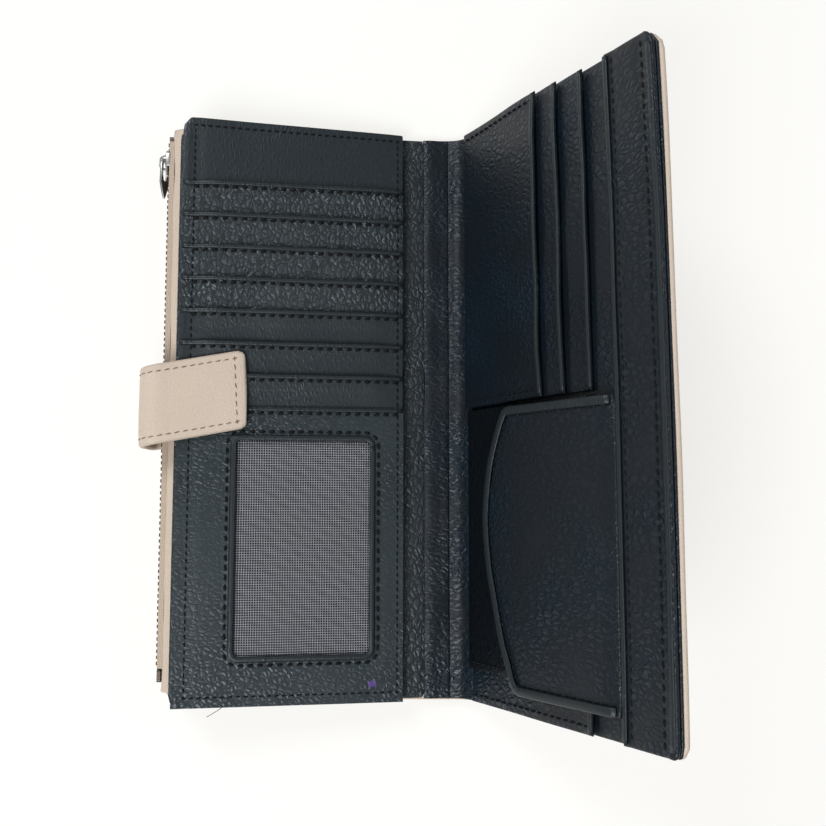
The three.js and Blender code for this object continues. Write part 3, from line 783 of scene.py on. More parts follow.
def cornered(left: float, right: float, low: float, high: float, radii: Sequence[float]) -> Limits:
    """Edges of a piece with rounded corners.

    Args:
        left: Left edge.
        right: Right edge.
        low: Lower end.
        high: Upper end.
        radii: Radii of the lower left, lower right, upper right and upper left corners.

    Returns:
        A function from a place along the piece to its two edges.
    """

    def inset(radius: float, depth: float) -> float:
        """How far a corner draws the edge in at a depth."""
        if radius <= 0 or depth >= radius:
            return 0.0
        return radius - math.sqrt(max(0.0, radius**2 - (radius - depth) ** 2))

    def edges(along: float) -> tuple[float, float]:
        """Both edges at a place along the piece."""
        below, above = along - low, high - along
        west = max(inset(radii[0], below), inset(radii[3], above))
        east = max(inset(radii[1], below), inset(radii[2], above))
        return left + west, right - east

    return edges


@dataclass
class Path:
    """A line in X and Z that a cover or strap follows, in millimetres."""

    points: Sequence[tuple[float, float]]

    def __post_init__(self) -> None:
        """Rounds the line with a spline and measures it."""
        fine: list[Vector] = []
        corners = [Vector(p) for p in self.points]
        padded = [corners[0] * 2 - corners[1], *corners, corners[-1] * 2 - corners[-2]]
        for a, b, c, d in zip(padded, padded[1:], padded[2:], padded[3:]):
            for i in range(12):
                t = i / 12
                fine.append(
                    0.5
                    * (
                        2 * b
                        + (c - a) * t
                        + (2 * a - 5 * b + 4 * c - d) * t * t
                        + (3 * b - a - 3 * c + d) * t**3
                    )
                )
        fine.append(corners[-1])
        self.fine = fine
        self.stations = [0.0]
        for one, other in zip(fine, fine[1:]):
            self.stations.append(self.stations[-1] + (other - one).length)

    @property
    def length(self) -> float:
        """The line's length in mm."""
        return self.stations[-1]

    def at(self, station: float) -> tuple[Vector, Vector]:
        """Gives the place and the unit normal at a distance along the line.

        Args:
            station: Distance from the start in mm.

        Returns:
            The place and the normal, both as X and Z.
        """
        station = min(max(station, 0.0), self.length)
        index = 0
        while index < len(self.stations) - 2 and self.stations[index + 1] < station:
            index += 1
        span = self.stations[index + 1] - self.stations[index]
        share = (station - self.stations[index]) / span if span else 0.0
        here = self.fine[index].lerp(self.fine[index + 1], share)
        before = self.fine[max(0, index - 1)]
        after = self.fine[min(len(self.fine) - 1, index + 2)]
        run = (after - before).normalized()
        return here, Vector((-run.y, run.x))

    def surface(self, uneven: Height, lean: float = 0.0, pivot: float = 0.0) -> Surface:
        """Makes the surface that the line sweeps along the wallet.

        Args:
            uneven: Gives the extra height at a place in mm.
            lean: How far along the wallet the piece runs for each mm across it.
            pivot: The X where a leaning piece keeps its place.

        Returns:
            A surface for a Sheet.
        """

        def spot(station: float, along: float) -> Spot:
            """The place and normal over a station of the line."""
            here, up = self.at(station)
            lifted = here + up * uneven(station, along)
            shift = lean * (here.x - pivot)
            return Vector((lifted.x, along + shift, lifted.y)) * MM, Vector((up.x, 0, up.y))

        return spot


def level_surface(level: Level, height: Height) -> Surface:
    """Makes a surface that lies on a level at a changing height."""
    return lambda across, along: (level.point(across, along, height(across, along)), level.normal)


def turned_edge(build: bmesh.types.BMesh, row: Sequence[Spot], width: float, height: float) -> None:
    """Adds the soft ridge that leather makes where its edge is turned under.

    Args:
        build: The mesh that gets the ridge.
        row: Points along the edge in metres with the leather's normals.
        width: The ridge's width in mm.
        height: Its height over the points in mm.
    """
    steps = 8
    rings = []
    for i, (point, normal) in enumerate(row):
        run = (row[min(i + 1, len(row) - 1)][0] - row[max(i - 1, 0)][0]).normalized()
        side = run.cross(normal)
        ring = []
        for step in range(steps):
            angle = 2 * math.pi * step / steps
            offset = side * (math.cos(angle) * width / 2) + normal * (math.sin(angle) * height)
            ring.append(build.verts.new(point + offset * MM))
        rings.append(ring)
    for one, other in zip(rings, rings[1:]):
        for step in range(steps):
            after = (step + 1) % steps
            build.faces.new([one[step], one[after], other[after], other[step]])
    build.faces.new(rings[0][::-1])
    build.faces.new(rings[-1])


def ridges(
    name: str, rows: Iterable[tuple[Sequence[Spot], float, float]], finish: Material
) -> Object:
    """Builds all the turned edges of one body as one piece.

    Args:
        name: The piece's name.
        rows: Rows of points with the ridge's width and height in mm.
        finish: The leather.

    Returns:
        The piece.
    """
    build = bmesh.new()
    for row, width, height in rows:
        turned_edge(build, row, width, height)
    bmesh.ops.recalc_face_normals(build, faces=build.faces)
    return link(kept(build, bpy.data.meshes.new(name)), name, finish)


def twisted(surface: Surface, level: Level) -> Surface:
    """Gives a swept surface the twist of the level that it backs.

    Args:
        surface: The surface without the twist.
        level: The level with the twist.

    Returns:
        The twisted surface.
    """
    origin = Vector((level.x, 0, level.z)) * MM
    rise = math.radians(level.rise_deg)

    def spot(across: float, along: float) -> Spot:
        """The place and normal turned by the level's twist."""
        point, normal = surface(across, along)
        arm = (point - origin) / MM
        extra = level.angle(arm.x * math.cos(rise) + arm.z * math.sin(rise), along) - rise
        turn = Matrix.Rotation(-extra, 3, "Y")
        return origin + turn @ (point - origin), turn @ normal

    return spot


def new_tree(name: str, **sockets: str) -> tuple[NodeTree, bpy.types.bpy_prop_collection]:
    """Makes a Geometry Nodes tree that reads and gives a geometry.

    Args:
        name: The tree's name.
        **sockets: Each further input's name and its kind of socket.

    Returns:
        The tree, and the sockets of its inputs.
    """
    tree = bpy.data.node_groups.new(name, "GeometryNodeTree")
    tree.interface.new_socket("Geometry", in_out="INPUT", socket_type="NodeSocketGeometry")
    for socket, kind in sockets.items():
        tree.interface.new_socket(socket, in_out="INPUT", socket_type="NodeSocket" + kind)
    tree.interface.new_socket("Geometry", in_out="OUTPUT", socket_type="NodeSocketGeometry")
    return tree, add_node(tree, "NodeGroupInput").outputs


def end_tree(tree: NodeTree, made: NodeSocket, finish: NodeSocket) -> None:
    """Gives what a tree has made its material and sends it out."""
    dressed = add_node(tree, "GeometryNodeSetMaterial", {"Geometry": made, "Material": finish})
    add_node(tree, "NodeGroupOutput", {0: dressed.outputs[0]})


def copied(
    tree: NodeTree,
    points: Node,
    shape: Node,
    turn: Node | None = None,
) -> NodeSocket:
    """Puts a real copy of a shape on each point.

    Args:
        tree: The tree.
        points: The node that gives the points.
        shape: The node that gives the shape.
        turn: The node that gives each copy's rotation, if any.

    Returns:
        The copies.
    """
    inputs = {"Points": points.outputs[0], "Instance": shape.outputs[0]}
    if turn:
        inputs["Rotation"] = turn.outputs[0]
    copies = add_node(tree, "GeometryNodeInstanceOnPoints", inputs)
    return add_node(tree, "GeometryNodeRealizeInstances", {0: copies.outputs[0]}).outputs[0]


@dataclass
class StitchRuns:
    """Rows of stitches, made by one Geometry Nodes tree.

    Attributes:
        finish: The thread's finish.
        unsteady: How far a stitch may turn off the slant of its row, in radians.
        rows: The points of each row with the leather's normals.
    """

    finish: Material
    unsteady: float = 0.05
    rows: list[list[Spot]] = field(default_factory=list)

    def add(self, points: Iterable[Spot]) -> None:
        """Adds a row through points in metres, each with the leather's normal."""
        self.rows.append(list(points))

    def tree(self) -> NodeTree:
        """Builds the tree: a thread dash on each step of each row.

        Returns:
            The Geometry Nodes tree.
        """
        tree, given = new_tree(
            "stitch_run",
            Pitch="Float",
            Length="Float",
            Thickness="Float",
            Slant="Float",
            Seed="Int",
            Material="Material",
        )
        curve = add_node(tree, "GeometryNodeMeshToCurve", {"Mesh": given["Geometry"]})
        steps = add_node(
            tree,
            "GeometryNodeResampleCurve",
            {"Curve": curve.outputs[0], "Length": given["Pitch"]},
            mode="LENGTH",
        )
        ball = add_node(tree, "GeometryNodeMeshUVSphere", {"Segments": 6, "Rings": 5, "Radius": 0.5})
        thick = given["Thickness"]
        size = add_node(tree, "ShaderNodeCombineXYZ", {"X": given["Length"], "Y": thick, "Z": thick})
        dash = add_node(
            tree, "GeometryNodeTransform", {"Geometry": ball.outputs["Mesh"], "Scale": size.outputs[0]}
        )
        tangent = add_node(tree, "GeometryNodeInputTangent")
        facing = add_node(
            tree, "GeometryNodeInputNamedAttribute", {"Name": "facing"}, data_type="FLOAT_VECTOR"
        )
        along = add_node(
            tree, "FunctionNodeAlignRotationToVector", {"Vector": tangent.outputs[0]}, axis="X"
        )
        turned = add_node(
            tree,
            "FunctionNodeAlignRotationToVector",
            {"Rotation": along.outputs[0], "Vector": facing.outputs[0]},
            axis="Z",
            pivot_axis="X",
        )
        loose = add_node(
            tree,
            "FunctionNodeRandomValue",
            {2: -self.unsteady, 3: self.unsteady, "Seed": given["Seed"]},
            data_type="FLOAT",
        )
        slant = maths(tree, "ADD", given["Slant"], loose.outputs[1])
        angle = add_node(tree, "ShaderNodeCombineXYZ", {"Z": slant})
        spin = add_node(tree, "FunctionNodeEulerToRotation", {0: angle.outputs[0]})
        final = add_node(
            tree,
            "FunctionNodeRotateRotation",
            {"Rotation": turned.outputs[0], "Rotate By": spin.outputs[0]},
            rotation_space="LOCAL",
        )
        end_tree(tree, copied(tree, steps, dash, final), given["Material"])
        return tree

    def build(
        self, name: str, pitch: float, length: float, thickness: float, slant: float = 0.1
    ) -> Object:
        """Turns the rows into one plain mesh of stitches.

        Args:
            name: The object's name.
            pitch: Stitch spacing in mm.
            length: Stitch length in mm.
            thickness: Thread thickness in mm.
            slant: Turn of each stitch off its row, in radians.

        Returns:
            The stitches.
        """
        mesh = bpy.data.meshes.new(name)
        places: list[Vector] = []
        edges: list[tuple[int, int]] = []
        normals: list[Vector] = []
        for row in self.rows:
            start = len(places)
            places += [p for p, _ in row]
            normals += [n for _, n in row]
            edges += [(start + i, start + i + 1) for i in range(len(row) - 1)]
        mesh.from_pydata(places, edges, [])
        facing = mesh.attributes.new("facing", "FLOAT_VECTOR", "POINT")
        facing.data.foreach_set("vector", [c for n in normals for c in n])
        values = {
            "Pitch": pitch * MM,
            "Length": length * MM,
            "Thickness": thickness * MM,
            "Slant": slant,
            "Seed": SEED,
            "Material": self.finish,
        }
        return grow(in_scene(name + "_rows", mesh), self.tree(), name, self.finish, values)


def grow(
    source: Object, tree: NodeTree, name: str, finish: Material, values: dict
) -> Object:
    """Runs a Geometry Nodes tree on an object and keeps the result as a plain mesh.

    Args:
        source: The object that the tree reads, removed afterwards.
        tree: The tree.
        name: The new object's name.
        finish: The new object's finish.
        values: Input names to values.

    Returns:
        The new object.
    """
    modifier = source.modifiers.new("grow", "NODES")
    modifier.node_group = tree
    for item in tree.interface.items_tree:
        if item.item_type == "SOCKET" and item.in_out == "INPUT" and item.name in values:
            modifier[item.identifier] = values[item.name]
    graph = bpy.context.evaluated_depsgraph_get()
    mesh = bpy.data.meshes.new_from_object(source.evaluated_get(graph))
    source.modifiers.remove(modifier)
    bpy.data.objects.remove(source)
    mesh.name = name
    if "facing" in mesh.attributes:
        mesh.attributes.remove(mesh.attributes["facing"])
    return link(mesh, name, finish)


def run_of(spot: Callable[[float], Spot], start: float, end: float, step: float = 2.0) -> list[Spot]:
    """Points of a stitch row between two places.

    Args:
        spot: Gives a point and normal at a place.
        start: First place in mm.
        end: Last place in mm.
        step: Distance between points in mm.

    Returns:
        The row's points with their normals.
    """
    count = max(2, int(abs(end - start) / step) + 1)
    return [spot(start + (end - start) * i / (count - 1)) for i in range(count)]


@dataclass
class LeftHalf:
    """The half that lies on the table: card panel, zip pocket and its leather edges."""

    finishes: Finishes
    level: Level = Level(x=-89.8, z=18.6, rise_deg=-9.0)
    length: float = 195.0
    width: float = 75.2
    edge_inset: float = 0.5
    slot_count: int = 7
    slot_pitch: float = 10.9
    first_drop: float = 20.7
    tuck: float = 3.0
    leather: float = 0.7
    hem: float = 4.2
    hem_extra: float = 0.3
    sewn: float = 2.1
    corner_pull: float = 2.3
    window_left: float = 19.2
    window_width: float = 44.8
    window_height: float = 70.8
    window_drop: float = 11.0
    window_corner: float = 1.8
    seam_left: float = 4.0
    seam_right: float = 2.0
    seam_top: float = 2.4
    seam_bottom: float = 3.2
    strip_low: float = 0.28
    strip_rise: float = 1.12
    slack: float = 1.1
    black_strips: int = 4
    net_margin: float = 1.5
    net_pitch: float = 0.8
    net_thread: float = 0.105
    net_waver: float = 0.3
    net_level: float = 0.2

    @property
    def half(self) -> float:
        """Half of the wallet's length."""
        return self.length / 2

    def slot_edge(self, index: int) -> float:
        """The place of a slot's free edge."""
        return self.half - self.first_drop - index * self.slot_pitch

    def seams(self, across: float, along: float) -> float:
        """The pull of the seams round the card panel at a place, in mm."""
        pull = groove(across - self.seam_left, 0.3)
        pull += groove(self.width - self.seam_right - across, 0.25)
        pull += groove(self.half - self.edge_inset - self.seam_top - along, 0.25)
        pull += groove(along + self.half - self.edge_inset - self.seam_bottom, 0.25)
        return pull

    def strip_height(self, index: int, across: float, along: float) -> float:
        """Gives the middle of a slot strip above the panel's level.

        Args:
            index: Which strip, from the top end.
            across: Place across the half in mm.
            along: Place along it in mm.

        Returns:
            The height in mm.
        """
        top = self.slot_edge(index)
        bottom = self.slot_edge(index + 1) - self.tuck
        share = clamped((along - bottom) / (top - bottom))
        rise = self.strip_low + share * self.strip_rise
        inner = min(across - self.seam_left, self.width - self.seam_right - across)
        slack = self.slack * clamped(inner / 7) * share**2
        sewn = groove(along - (top - self.sewn), 0.22, 0.7)
        return rise + slack + sewn + self.seams(across, along) + ripple(across, along, 17, 0.3, index * 3.1)

    def strip(self, index: int) -> None:
        """Builds one slot strip with its turned edge.

        Args:
            index: Which strip, from the top end.
        """
        top = self.slot_edge(index)
        bottom = self.slot_edge(index + 1) - self.tuck

        def thick(_across: float, along: float) -> float:
            """The leather, thicker where it is turned under."""
            return self.leather + self.hem_extra * clamped((along - (top - self.hem)) / 0.8)

        sheet = Sheet(
            level_surface(self.level, lambda x, y: self.strip_height(index, x, y)),
            bottom,
            top + 0.1,
            straight(0.0, self.width),
            thick,
            step=1.6,
        )
        finish = self.finishes.black if index < self.black_strips else self.finishes.black_smooth
        name, node = f"card_strip_{index + 1}", f"card_slot_{index + 1}"
        sheet.laid(name, finish, Body.LEFT, Slot.BLACK, node)

    def header_height(self, across: float, along: float) -> float:
        """Middle of the header above the panel's level, in mm."""
        return 0.45 + self.seams(across, along) + ripple(across, along, 21, 0.2, 40.0)

    def header(self) -> None:
        """Builds the plain leather above the first slot."""
        low = self.slot_edge(0) - self.tuck
        high = self.half - self.edge_inset

        def surface(across: float, along: float) -> Spot:
            """The header's middle, drawn up towards its outer corner."""
            share = max(0.0, (along - self.slot_edge(0)) / (high - self.slot_edge(0)))
            drawn_up = self.corner_pull * (1 - across / self.width) * share
            height = self.header_height(across, along)
            return self.level.point(across, along + drawn_up, height), self.level.normal

        sheet = Sheet(
            surface,
            low,
            high,
            cornered(0.0, self.width, low, high, (0, 0, 1, 4)),
            even(self.leather + 0.1),
        )
        smooth = self.finishes.black_smooth
        sheet.laid("panel_header", smooth, Body.LEFT, Slot.BLACK, "card_panel_header")

    def window_height_at(self, across: float, along: float) -> float:
        """Gives the middle of the window pocket's leather above the panel's level.

        Args:
            across: Place across the half in mm.
            along: Place along it in mm.

        Returns:
            The height in mm.
        """
        top = self.slot_edge(self.slot_count)
        share = (along + self.half) / (top + self.half)
        near = self.window_gap(across, along)
        rim = 0.16 * math.exp(-(((near - 1.0) / 0.9) ** 2)) + groove(near - 2.3, 0.12, 0.6)
        return 0.75 + 0.65 * share + self.seams(across, along) + rim + ripple(across, along, 19, 0.24, 60.0)

    def window_box(self) -> tuple[float, float, float, float]:
        """Left, right, lower and upper edge of the window."""
        top = self.slot_edge(self.slot_count) - self.window_drop
        return self.window_left, self.window_left + self.window_width, top - self.window_height, top

    def window_gap(self, across: float, along: float) -> float:
        """Distance from a place outside the window to its rim, in mm."""
        left, right, low, high = self.window_box()
        dx = max(left - across, across - right, 0.0)
        dy = max(low - along, along - high, 0.0)
        return math.hypot(dx, dy)

    def window_pocket(self) -> None:
        """Builds the window pocket: leather bands round the window in one mesh."""
        left, right, low, high = self.window_box()
        bottom = -self.half + self.edge_inset
        top = self.slot_edge(self.slot_count) + 0.1
        radius = self.window_corner

        def marks(start: float, one: float, other: float, end: float) -> list[float]:
            """Mesh lines along one direction, closer at the window's rims."""
            edge = self.leather / 2
            places = graded(start, one - radius, 2.0, edge)
            places += [one - radius * 0.5, one, one + radius * 0.5]
            places += graded(one + radius, other - radius, 2.4, edge)
            places += [other - radius * 0.5, other, other + radius * 0.5]
            return places + graded(other + radius, end, 2.0, edge)

        columns, rows = marks(0.0, left, right, self.width), marks(bottom, low, high, top)
        build = bmesh.new()

        def corner(x: float, y: float) -> bmesh.types.BMVert:
            """A corner on the top of the leather."""
            height = self.window_height_at(x, y) + self.leather / 2
            return build.verts.new(self.level.point(x, y, height))

        grid = [[corner(x, y) for x in columns] for y in rows]
        for j in range(len(rows) - 1):
            for i in range(len(columns) - 1):
                middle_x = (columns[i] + columns[i + 1]) / 2
                middle_y = (rows[j] + rows[j + 1]) / 2
                if left < middle_x < right and low < middle_y < high:
                    continue
                build.faces.new([grid[j][i], grid[j][i + 1], grid[j + 1][i + 1], grid[j + 1][i]])
        loose = [v for v in build.verts if not v.link_faces]
        bmesh.ops.delete(build, geom=loose, context="VERTS")
        mesh = kept(build, bpy.data.meshes.new("window_pocket"))
        piece = link(mesh, "window_pocket", self.finishes.black_marked)
        wall = piece.modifiers.new("wall", "SOLIDIFY")
        wall.thickness = self.leather * MM
        wall.offset = -1
        round_edges(piece, 0.28, 50)
        place(piece, Body.LEFT, Slot.BLACK, "id_window_panel")

    def window_loop(self, margin: float, lift: float) -> list[Spot]:
        """Points round the window at a margin, with rounded corners.

        Args:
            margin: Distance outside the window's rim in mm.
            lift: Height over the leather's middle in mm.

        Returns:
            Points and normals of a closed row.
        """
        left, right, low, high = self.window_box()
        radius = self.window_corner + margin
        corners = (
            (right + margin - radius, high + margin - radius, 0),
            (left - margin + radius, high + margin - radius, 90),
            (left - margin + radius, low - margin + radius, 180),
            (right + margin - radius, low - margin + radius, 270),
        )
        flat: list[tuple[float, float]] = []
        for x, y, start in corners:
            for step in range(7):
                angle = math.radians(start + step * 15)
                flat.append((x + radius * math.cos(angle), y + radius * math.sin(angle)))
        flat.append(flat[0])
        dense: list[tuple[float, float]] = []
        for one, other in zip(flat, flat[1:]):
            count = max(1, round(math.dist(one, other) / 2.5))
            dense += [
                (one[0] + (other[0] - one[0]) * i / count, one[1] + (other[1] - one[1]) * i / count)
                for i in range(count)
            ]
        dense.append(flat[0])
        heights = [self.window_height_at(x, y) + lift for x, y in dense]
        return [(self.level.point(x, y, up), self.level.normal) for (x, y), up in zip(dense, heights)]

    def net(self) -> None:
        """Builds the net behind the window: crossed threads from one Geometry Nodes tree."""
        left, right, low, high = self.window_box()
        margin, level = self.net_margin, self.net_level
        corner = self.level.point(left - margin, low - margin, level)
        across = self.level.point(right + margin, low - margin, level) - corner
        up = self.level.point(left - margin, high + margin, level) - corner
        seed = bpy.data.meshes.new("net_seed")
        seed.from_pydata([corner], [], [])
        source = in_scene("net_seed", seed)
        pitch = self.net_pitch * MM
        values = {
            "Corner": corner,
            "Across": across,
            "Up": up,
            "Columns": int(across.length / pitch),
            "Rows": int(up.length / pitch),
            "Thread": self.net_thread * MM,
            "Waver": self.net_waver * MM,
            "Material": self.finishes.net,
        }
        piece = grow(source, net_tree(), "window_net", self.finishes.net, values)
        place(piece, Body.LEFT, Slot.NET, "id_window_net")

    def divider_height(self, across: float, along: float) -> float:
        """Middle of the bill divider's leather, in mm."""
        free = clamped((across - 60) / 22)
        return -2.5 + ripple(across, along, 26, 0.35, 80.0) * free

    def divider(self) -> None:
        """Builds the leather behind the card panel, which shows beside the spine."""
        reach = 83.2
        high = self.half - 1.0
        sheet = Sheet(
            level_surface(self.level, self.divider_height),
            -high,
            high,
            cornered(-1.0, reach, -high, high, (2, 2, 2, 4)),
            even(1.0),
            step=2.6,
        )
        sheet.laid(
            "bill_divider_leather", self.finishes.black, Body.LEFT, Slot.BLACK, "bill_divider"
        )

    def upper_gusset(self) -> None:
        """Builds the beige leather from the card panel's edge down to the zip."""
        path = Path([(-93.9, 12.0), (-93.7, 13.4), (-92.2, 14.5), (-89.6, 15.0), (-86.4, 14.2)])
        high = self.half - 1.2
        low = -high + 3.5
        sheet = Sheet(
            path.surface(lambda s, y: ripple(s * 2, y, 15, 0.5, 100.0)),
            low,
            high,
            cornered(0.0, path.length, low, high, (2, 0, 0, 3)),
            even(0.9),
            step=1.6,
        )
        beige = self.finishes.beige
        sheet.laid("zip_leather_upper", beige, Body.LEFT, Slot.BEIGE, "zip_gusset_upper")

    def lining_nodes(self) -> None:
        """Dresses the nodes that keep their own shape."""
        for node in ("card_panel_backing", "pocket_end_top", "pocket_end_bottom"):
            dress(node, self.finishes.lining)
        dress("zip_gusset_lower", self.finishes.beige)
        for node in ("zip_tape_upper", "zip_tape_lower"):
            dress(node, self.finishes.tape)

    def stitches(self) -> None:
        """Sews the seams of the card panel, the slots and the window."""
        runs = StitchRuns(self.finishes.black_thread)
        bold = StitchRuns(self.finishes.black_thread)
        top = self.half - self.edge_inset - self.seam_top
        bottom = -self.half + self.edge_inset + self.seam_bottom
        proud = self.leather / 2 + 0.26

        def on_panel(across: float, along: float) -> Spot:
            """A stitch's place on the uppermost leather."""
            height = self.panel_top(across, along) + proud
            return self.level.point(across, along, height), self.level.normal

        def on_header(across: float) -> Spot:
            """A stitch's place on the header's pulled edge."""
            pulled = self.corner_pull * 0.88 * (1 - across / self.width)
            return on_panel(across, top)[0] + Vector((0, pulled, 0)) * MM, self.level.normal

        left, right = self.seam_left, self.width - self.seam_right
        runs.add(run_of(lambda y: on_panel(left, y), bottom, top, 1.0))
        runs.add(run_of(lambda y: on_panel(right, y), bottom, top, 1.0))
        runs.add(run_of(on_header, left, right))
        runs.add(run_of(lambda x: on_panel(x, bottom), left, right))
        for index in range(self.slot_count + 1):
            row = self.slot_edge(index) - self.sewn
            bold.add(run_of(lambda x, row=row: on_panel(x, row), left + 0.8, right - 0.8))
        bold.add(self.window_loop(2.7, proud))
        rows = bold.build("stitches_slots", pitch=3.15, length=2.2, thickness=1.05)
        place(rows, Body.LEFT, Slot.BLACK)
        rows = runs.build("stitches_left_half", pitch=2.4, length=1.7, thickness=0.6)
        place(rows, Body.LEFT, Slot.BLACK)

    def edges(self) -> None:
        """Builds the turned edges of the slots and of the window."""
        rows = []
        for index in range(self.slot_count + 1):
            near = self.slot_edge(index) - 0.75
            height = self.leather / 2 + 0.05

            def spot(across: float, near: float = near, height: float = height) -> Spot:
                """A place on this slot's edge."""
                top = self.panel_top(across, near)
                return self.level.point(across, near, top + height), self.level.normal

            rows.append((run_of(spot, 0.4, self.width - 0.2), 1.5, 0.3))
        rows.append((self.window_loop(0.7, self.leather / 2), 2.0, 0.45))
        piece = ridges("turned_edges_left", rows, self.finishes.black_smooth)
        place(piece, Body.LEFT, Slot.BLACK)

    def panel_top(self, across: float, along: float) -> float:
        """Gives the middle of whatever leather lies uppermost.

        Args:
            across: Place across the half in mm.
            along: Place along it in mm.

        Returns:
            The height in mm.
        """
        if along > self.slot_edge(0):
            return self.header_height(across, along)
        for index in range(self.slot_count):
            if along > self.slot_edge(index + 1):
                extra = self.hem_extra / 2 if along > self.slot_edge(index) - self.hem else 0.0
                return self.strip_height(index, across, along) + extra
        return self.window_height_at(across, along)

    def loose_thread(self) -> None:
        """Builds the thread end that has come out of the lower edge."""
        ends = [(17.5, -95.6, 0.3), (16.5, -97.4, 0.2), (14.2, -98.6, -0.6), (11.5, -100.3, -1.4)]
        curve = bpy.data.curves.new("loose_thread", "CURVE")
        curve.dimensions = "3D"
        curve.bevel_depth = 0.11 * MM
        curve.bevel_resolution = 2
        spline = curve.splines.new("NURBS")
        spline.points.add(len(ends) - 1)
        spline.use_endpoint_u = True
        for point, spot in zip(spline.points, ends):
            point.co = (*self.level.point(*spot), 1.0)
        strand = in_scene("loose_thread", curve)
        graph = bpy.context.evaluated_depsgraph_get()
        mesh = bpy.data.meshes.new_from_object(strand.evaluated_get(graph))
        bpy.data.objects.remove(strand)
        place(link(mesh, "loose_thread_end", self.finishes.brown_thread), Body.LEFT, Slot.BEIGE)

    def build(self) -> None:
        """Builds every piece of the left half."""
        self.loose_thread()
        self.header()
        for index in range(self.slot_count):
            self.strip(index)
        self.window_pocket()
        self.edges()
        self.net()
        self.divider()
        self.upper_gusset()
        self.lining_nodes()
        self.stitches()


def net_tree() -> NodeTree:
    """Builds the net's tree: two crossed rows of wavering threads.

    Returns:
        The Geometry Nodes tree.
    """
    tree, given = new_tree(
        "net",
        Corner="Vector",
        Across="Vector",
        Up="Vector",
        Columns="Int",
        Rows="Int",
        Thread="Float",
        Waver="Float",
        Material="Material",
    )
    joined = add_node(tree, "GeometryNodeJoinGeometry")
    for run, spread, count in (("Across", "Up", "Rows"), ("Up", "Across", "Columns")):
        line = add_node(tree, "GeometryNodeCurvePrimitiveLine", {"End": given[run]})
        fine = add_node(tree, "GeometryNodeResampleCurve", {"Curve": line.outputs[0], "Count": 12})
        step = scaled(tree, given[spread], maths(tree, "DIVIDE", 1.0, given[count]))
        row = add_node(
            tree,
            "GeometryNodeMeshLine",
            {"Count": given[count], "Start Location": given["Corner"], "Offset": step},
        )
        threads = copied(tree, row, fine)
        waver = add_node(tree, "ShaderNodeTexNoise", {"Scale": per_metre(6.25), "Detail": 0.0})
        centred = add_node(
            tree,
            "ShaderNodeVectorMath",
            {0: waver.outputs["Color"], 1: (0.5, 0.5, 0.5)},
            operation="SUBTRACT",
        )
        shift = scaled(tree, centred.outputs[0], given["Waver"])
        moved = add_node(tree, "GeometryNodeSetPosition", {"Geometry": threads, "Offset": shift})
        ring = add_node(
            tree, "GeometryNodeCurvePrimitiveCircle", {"Resolution": 5, "Radius": given["Thread"]}
        )
        tube = add_node(
            tree, "GeometryNodeCurveToMesh", {"Curve": moved.outputs[0], "Profile Curve": ring.outputs[0]}
        )
        tree.links.new(tube.outputs[0], joined.inputs[0])
    end_tree(tree, joined.outputs[0], given["Material"])
    return tree


def dress(node: str, finish: Material) -> None:
    """Gives a CAD node that keeps its shape a finish."""
    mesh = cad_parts[node].data
    mesh.materials.clear()
    mesh.materials.append(finish)


def polished(
    node: str, name: str, finish: Material, body: Body, rounding_mm: float
) -> Object:
    """Makes a piece from a copy of a metal node, with its edges rounded.

    Args:
        node: The CAD node.
        name: The piece's name.
        finish: Its finish.
        body: The body it rides on.
        rounding_mm: Width of the rounding.

    Returns:
        The piece.
    """
    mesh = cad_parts[node].data.copy()
    build = bmesh.new()
    build.from_mesh(mesh)
    bmesh.ops.remove_doubles(build, verts=build.verts, dist=WELD)
    flat = math.radians(2)
    bmesh.ops.dissolve_limit(build, angle_limit=flat, verts=build.verts, edges=build.edges)
    piece = link(kept(build, mesh), name, finish)
    round_edges(piece, rounding_mm, 35)
    return place(piece, body, Slot.METAL, node)


def plate(
    name: str,
    outer: Sequence[tuple[float, float]],
    inner: Sequence[tuple[float, float]],
    spot: Callable[[float, float, float], Vector],
    thickness: float,
) -> Mesh:
    """Builds a flat plate, with a hole if an inner outline is given.

    Args:
        name: The mesh's name.
        outer: The outline, in mm.
        inner: The hole's outline with as many points, or none.
        spot: Gives the place in metres of a point of the outline at a height.
        thickness: The plate's thickness in mm.

    Returns:
        The closed mesh.
    """
    build = bmesh.new()
    rings = [
        [build.verts.new(spot(a, b, side * thickness / 2)) for a, b in outline]
        for outline in ((outer, inner) if inner else (outer,))
        for side in (-1, 1)
    ]
    count = len(outer)
    if not inner:
        build.faces.new(rings[0])
        build.faces.new(rings[1][::-1])
    bands = ((0, 1), (1, 3), (3, 2), (2, 0)) if inner else ((0, 1),)
    for one, other in bands:
        for i in range(count):
            j = (i + 1) % count
            build.faces.new([rings[one][i], rings[one][j], rings[other][j], rings[other][i]])
    bmesh.ops.recalc_face_normals(build, faces=build.faces)
    return kept(build, bpy.data.meshes.new(name))


def cast(mesh: Mesh, name: str, finish: Material) -> Object:
    """Puts a cast metal part into the scene with its edges rounded as tumbling leaves them.

    Args:
        mesh: The part's mesh.
        name: The object's name.
        finish: Its finish.

    Returns:
        The part.
    """
    piece = link(mesh, name, finish)
    round_edges(piece, 0.2, 40)
    return piece


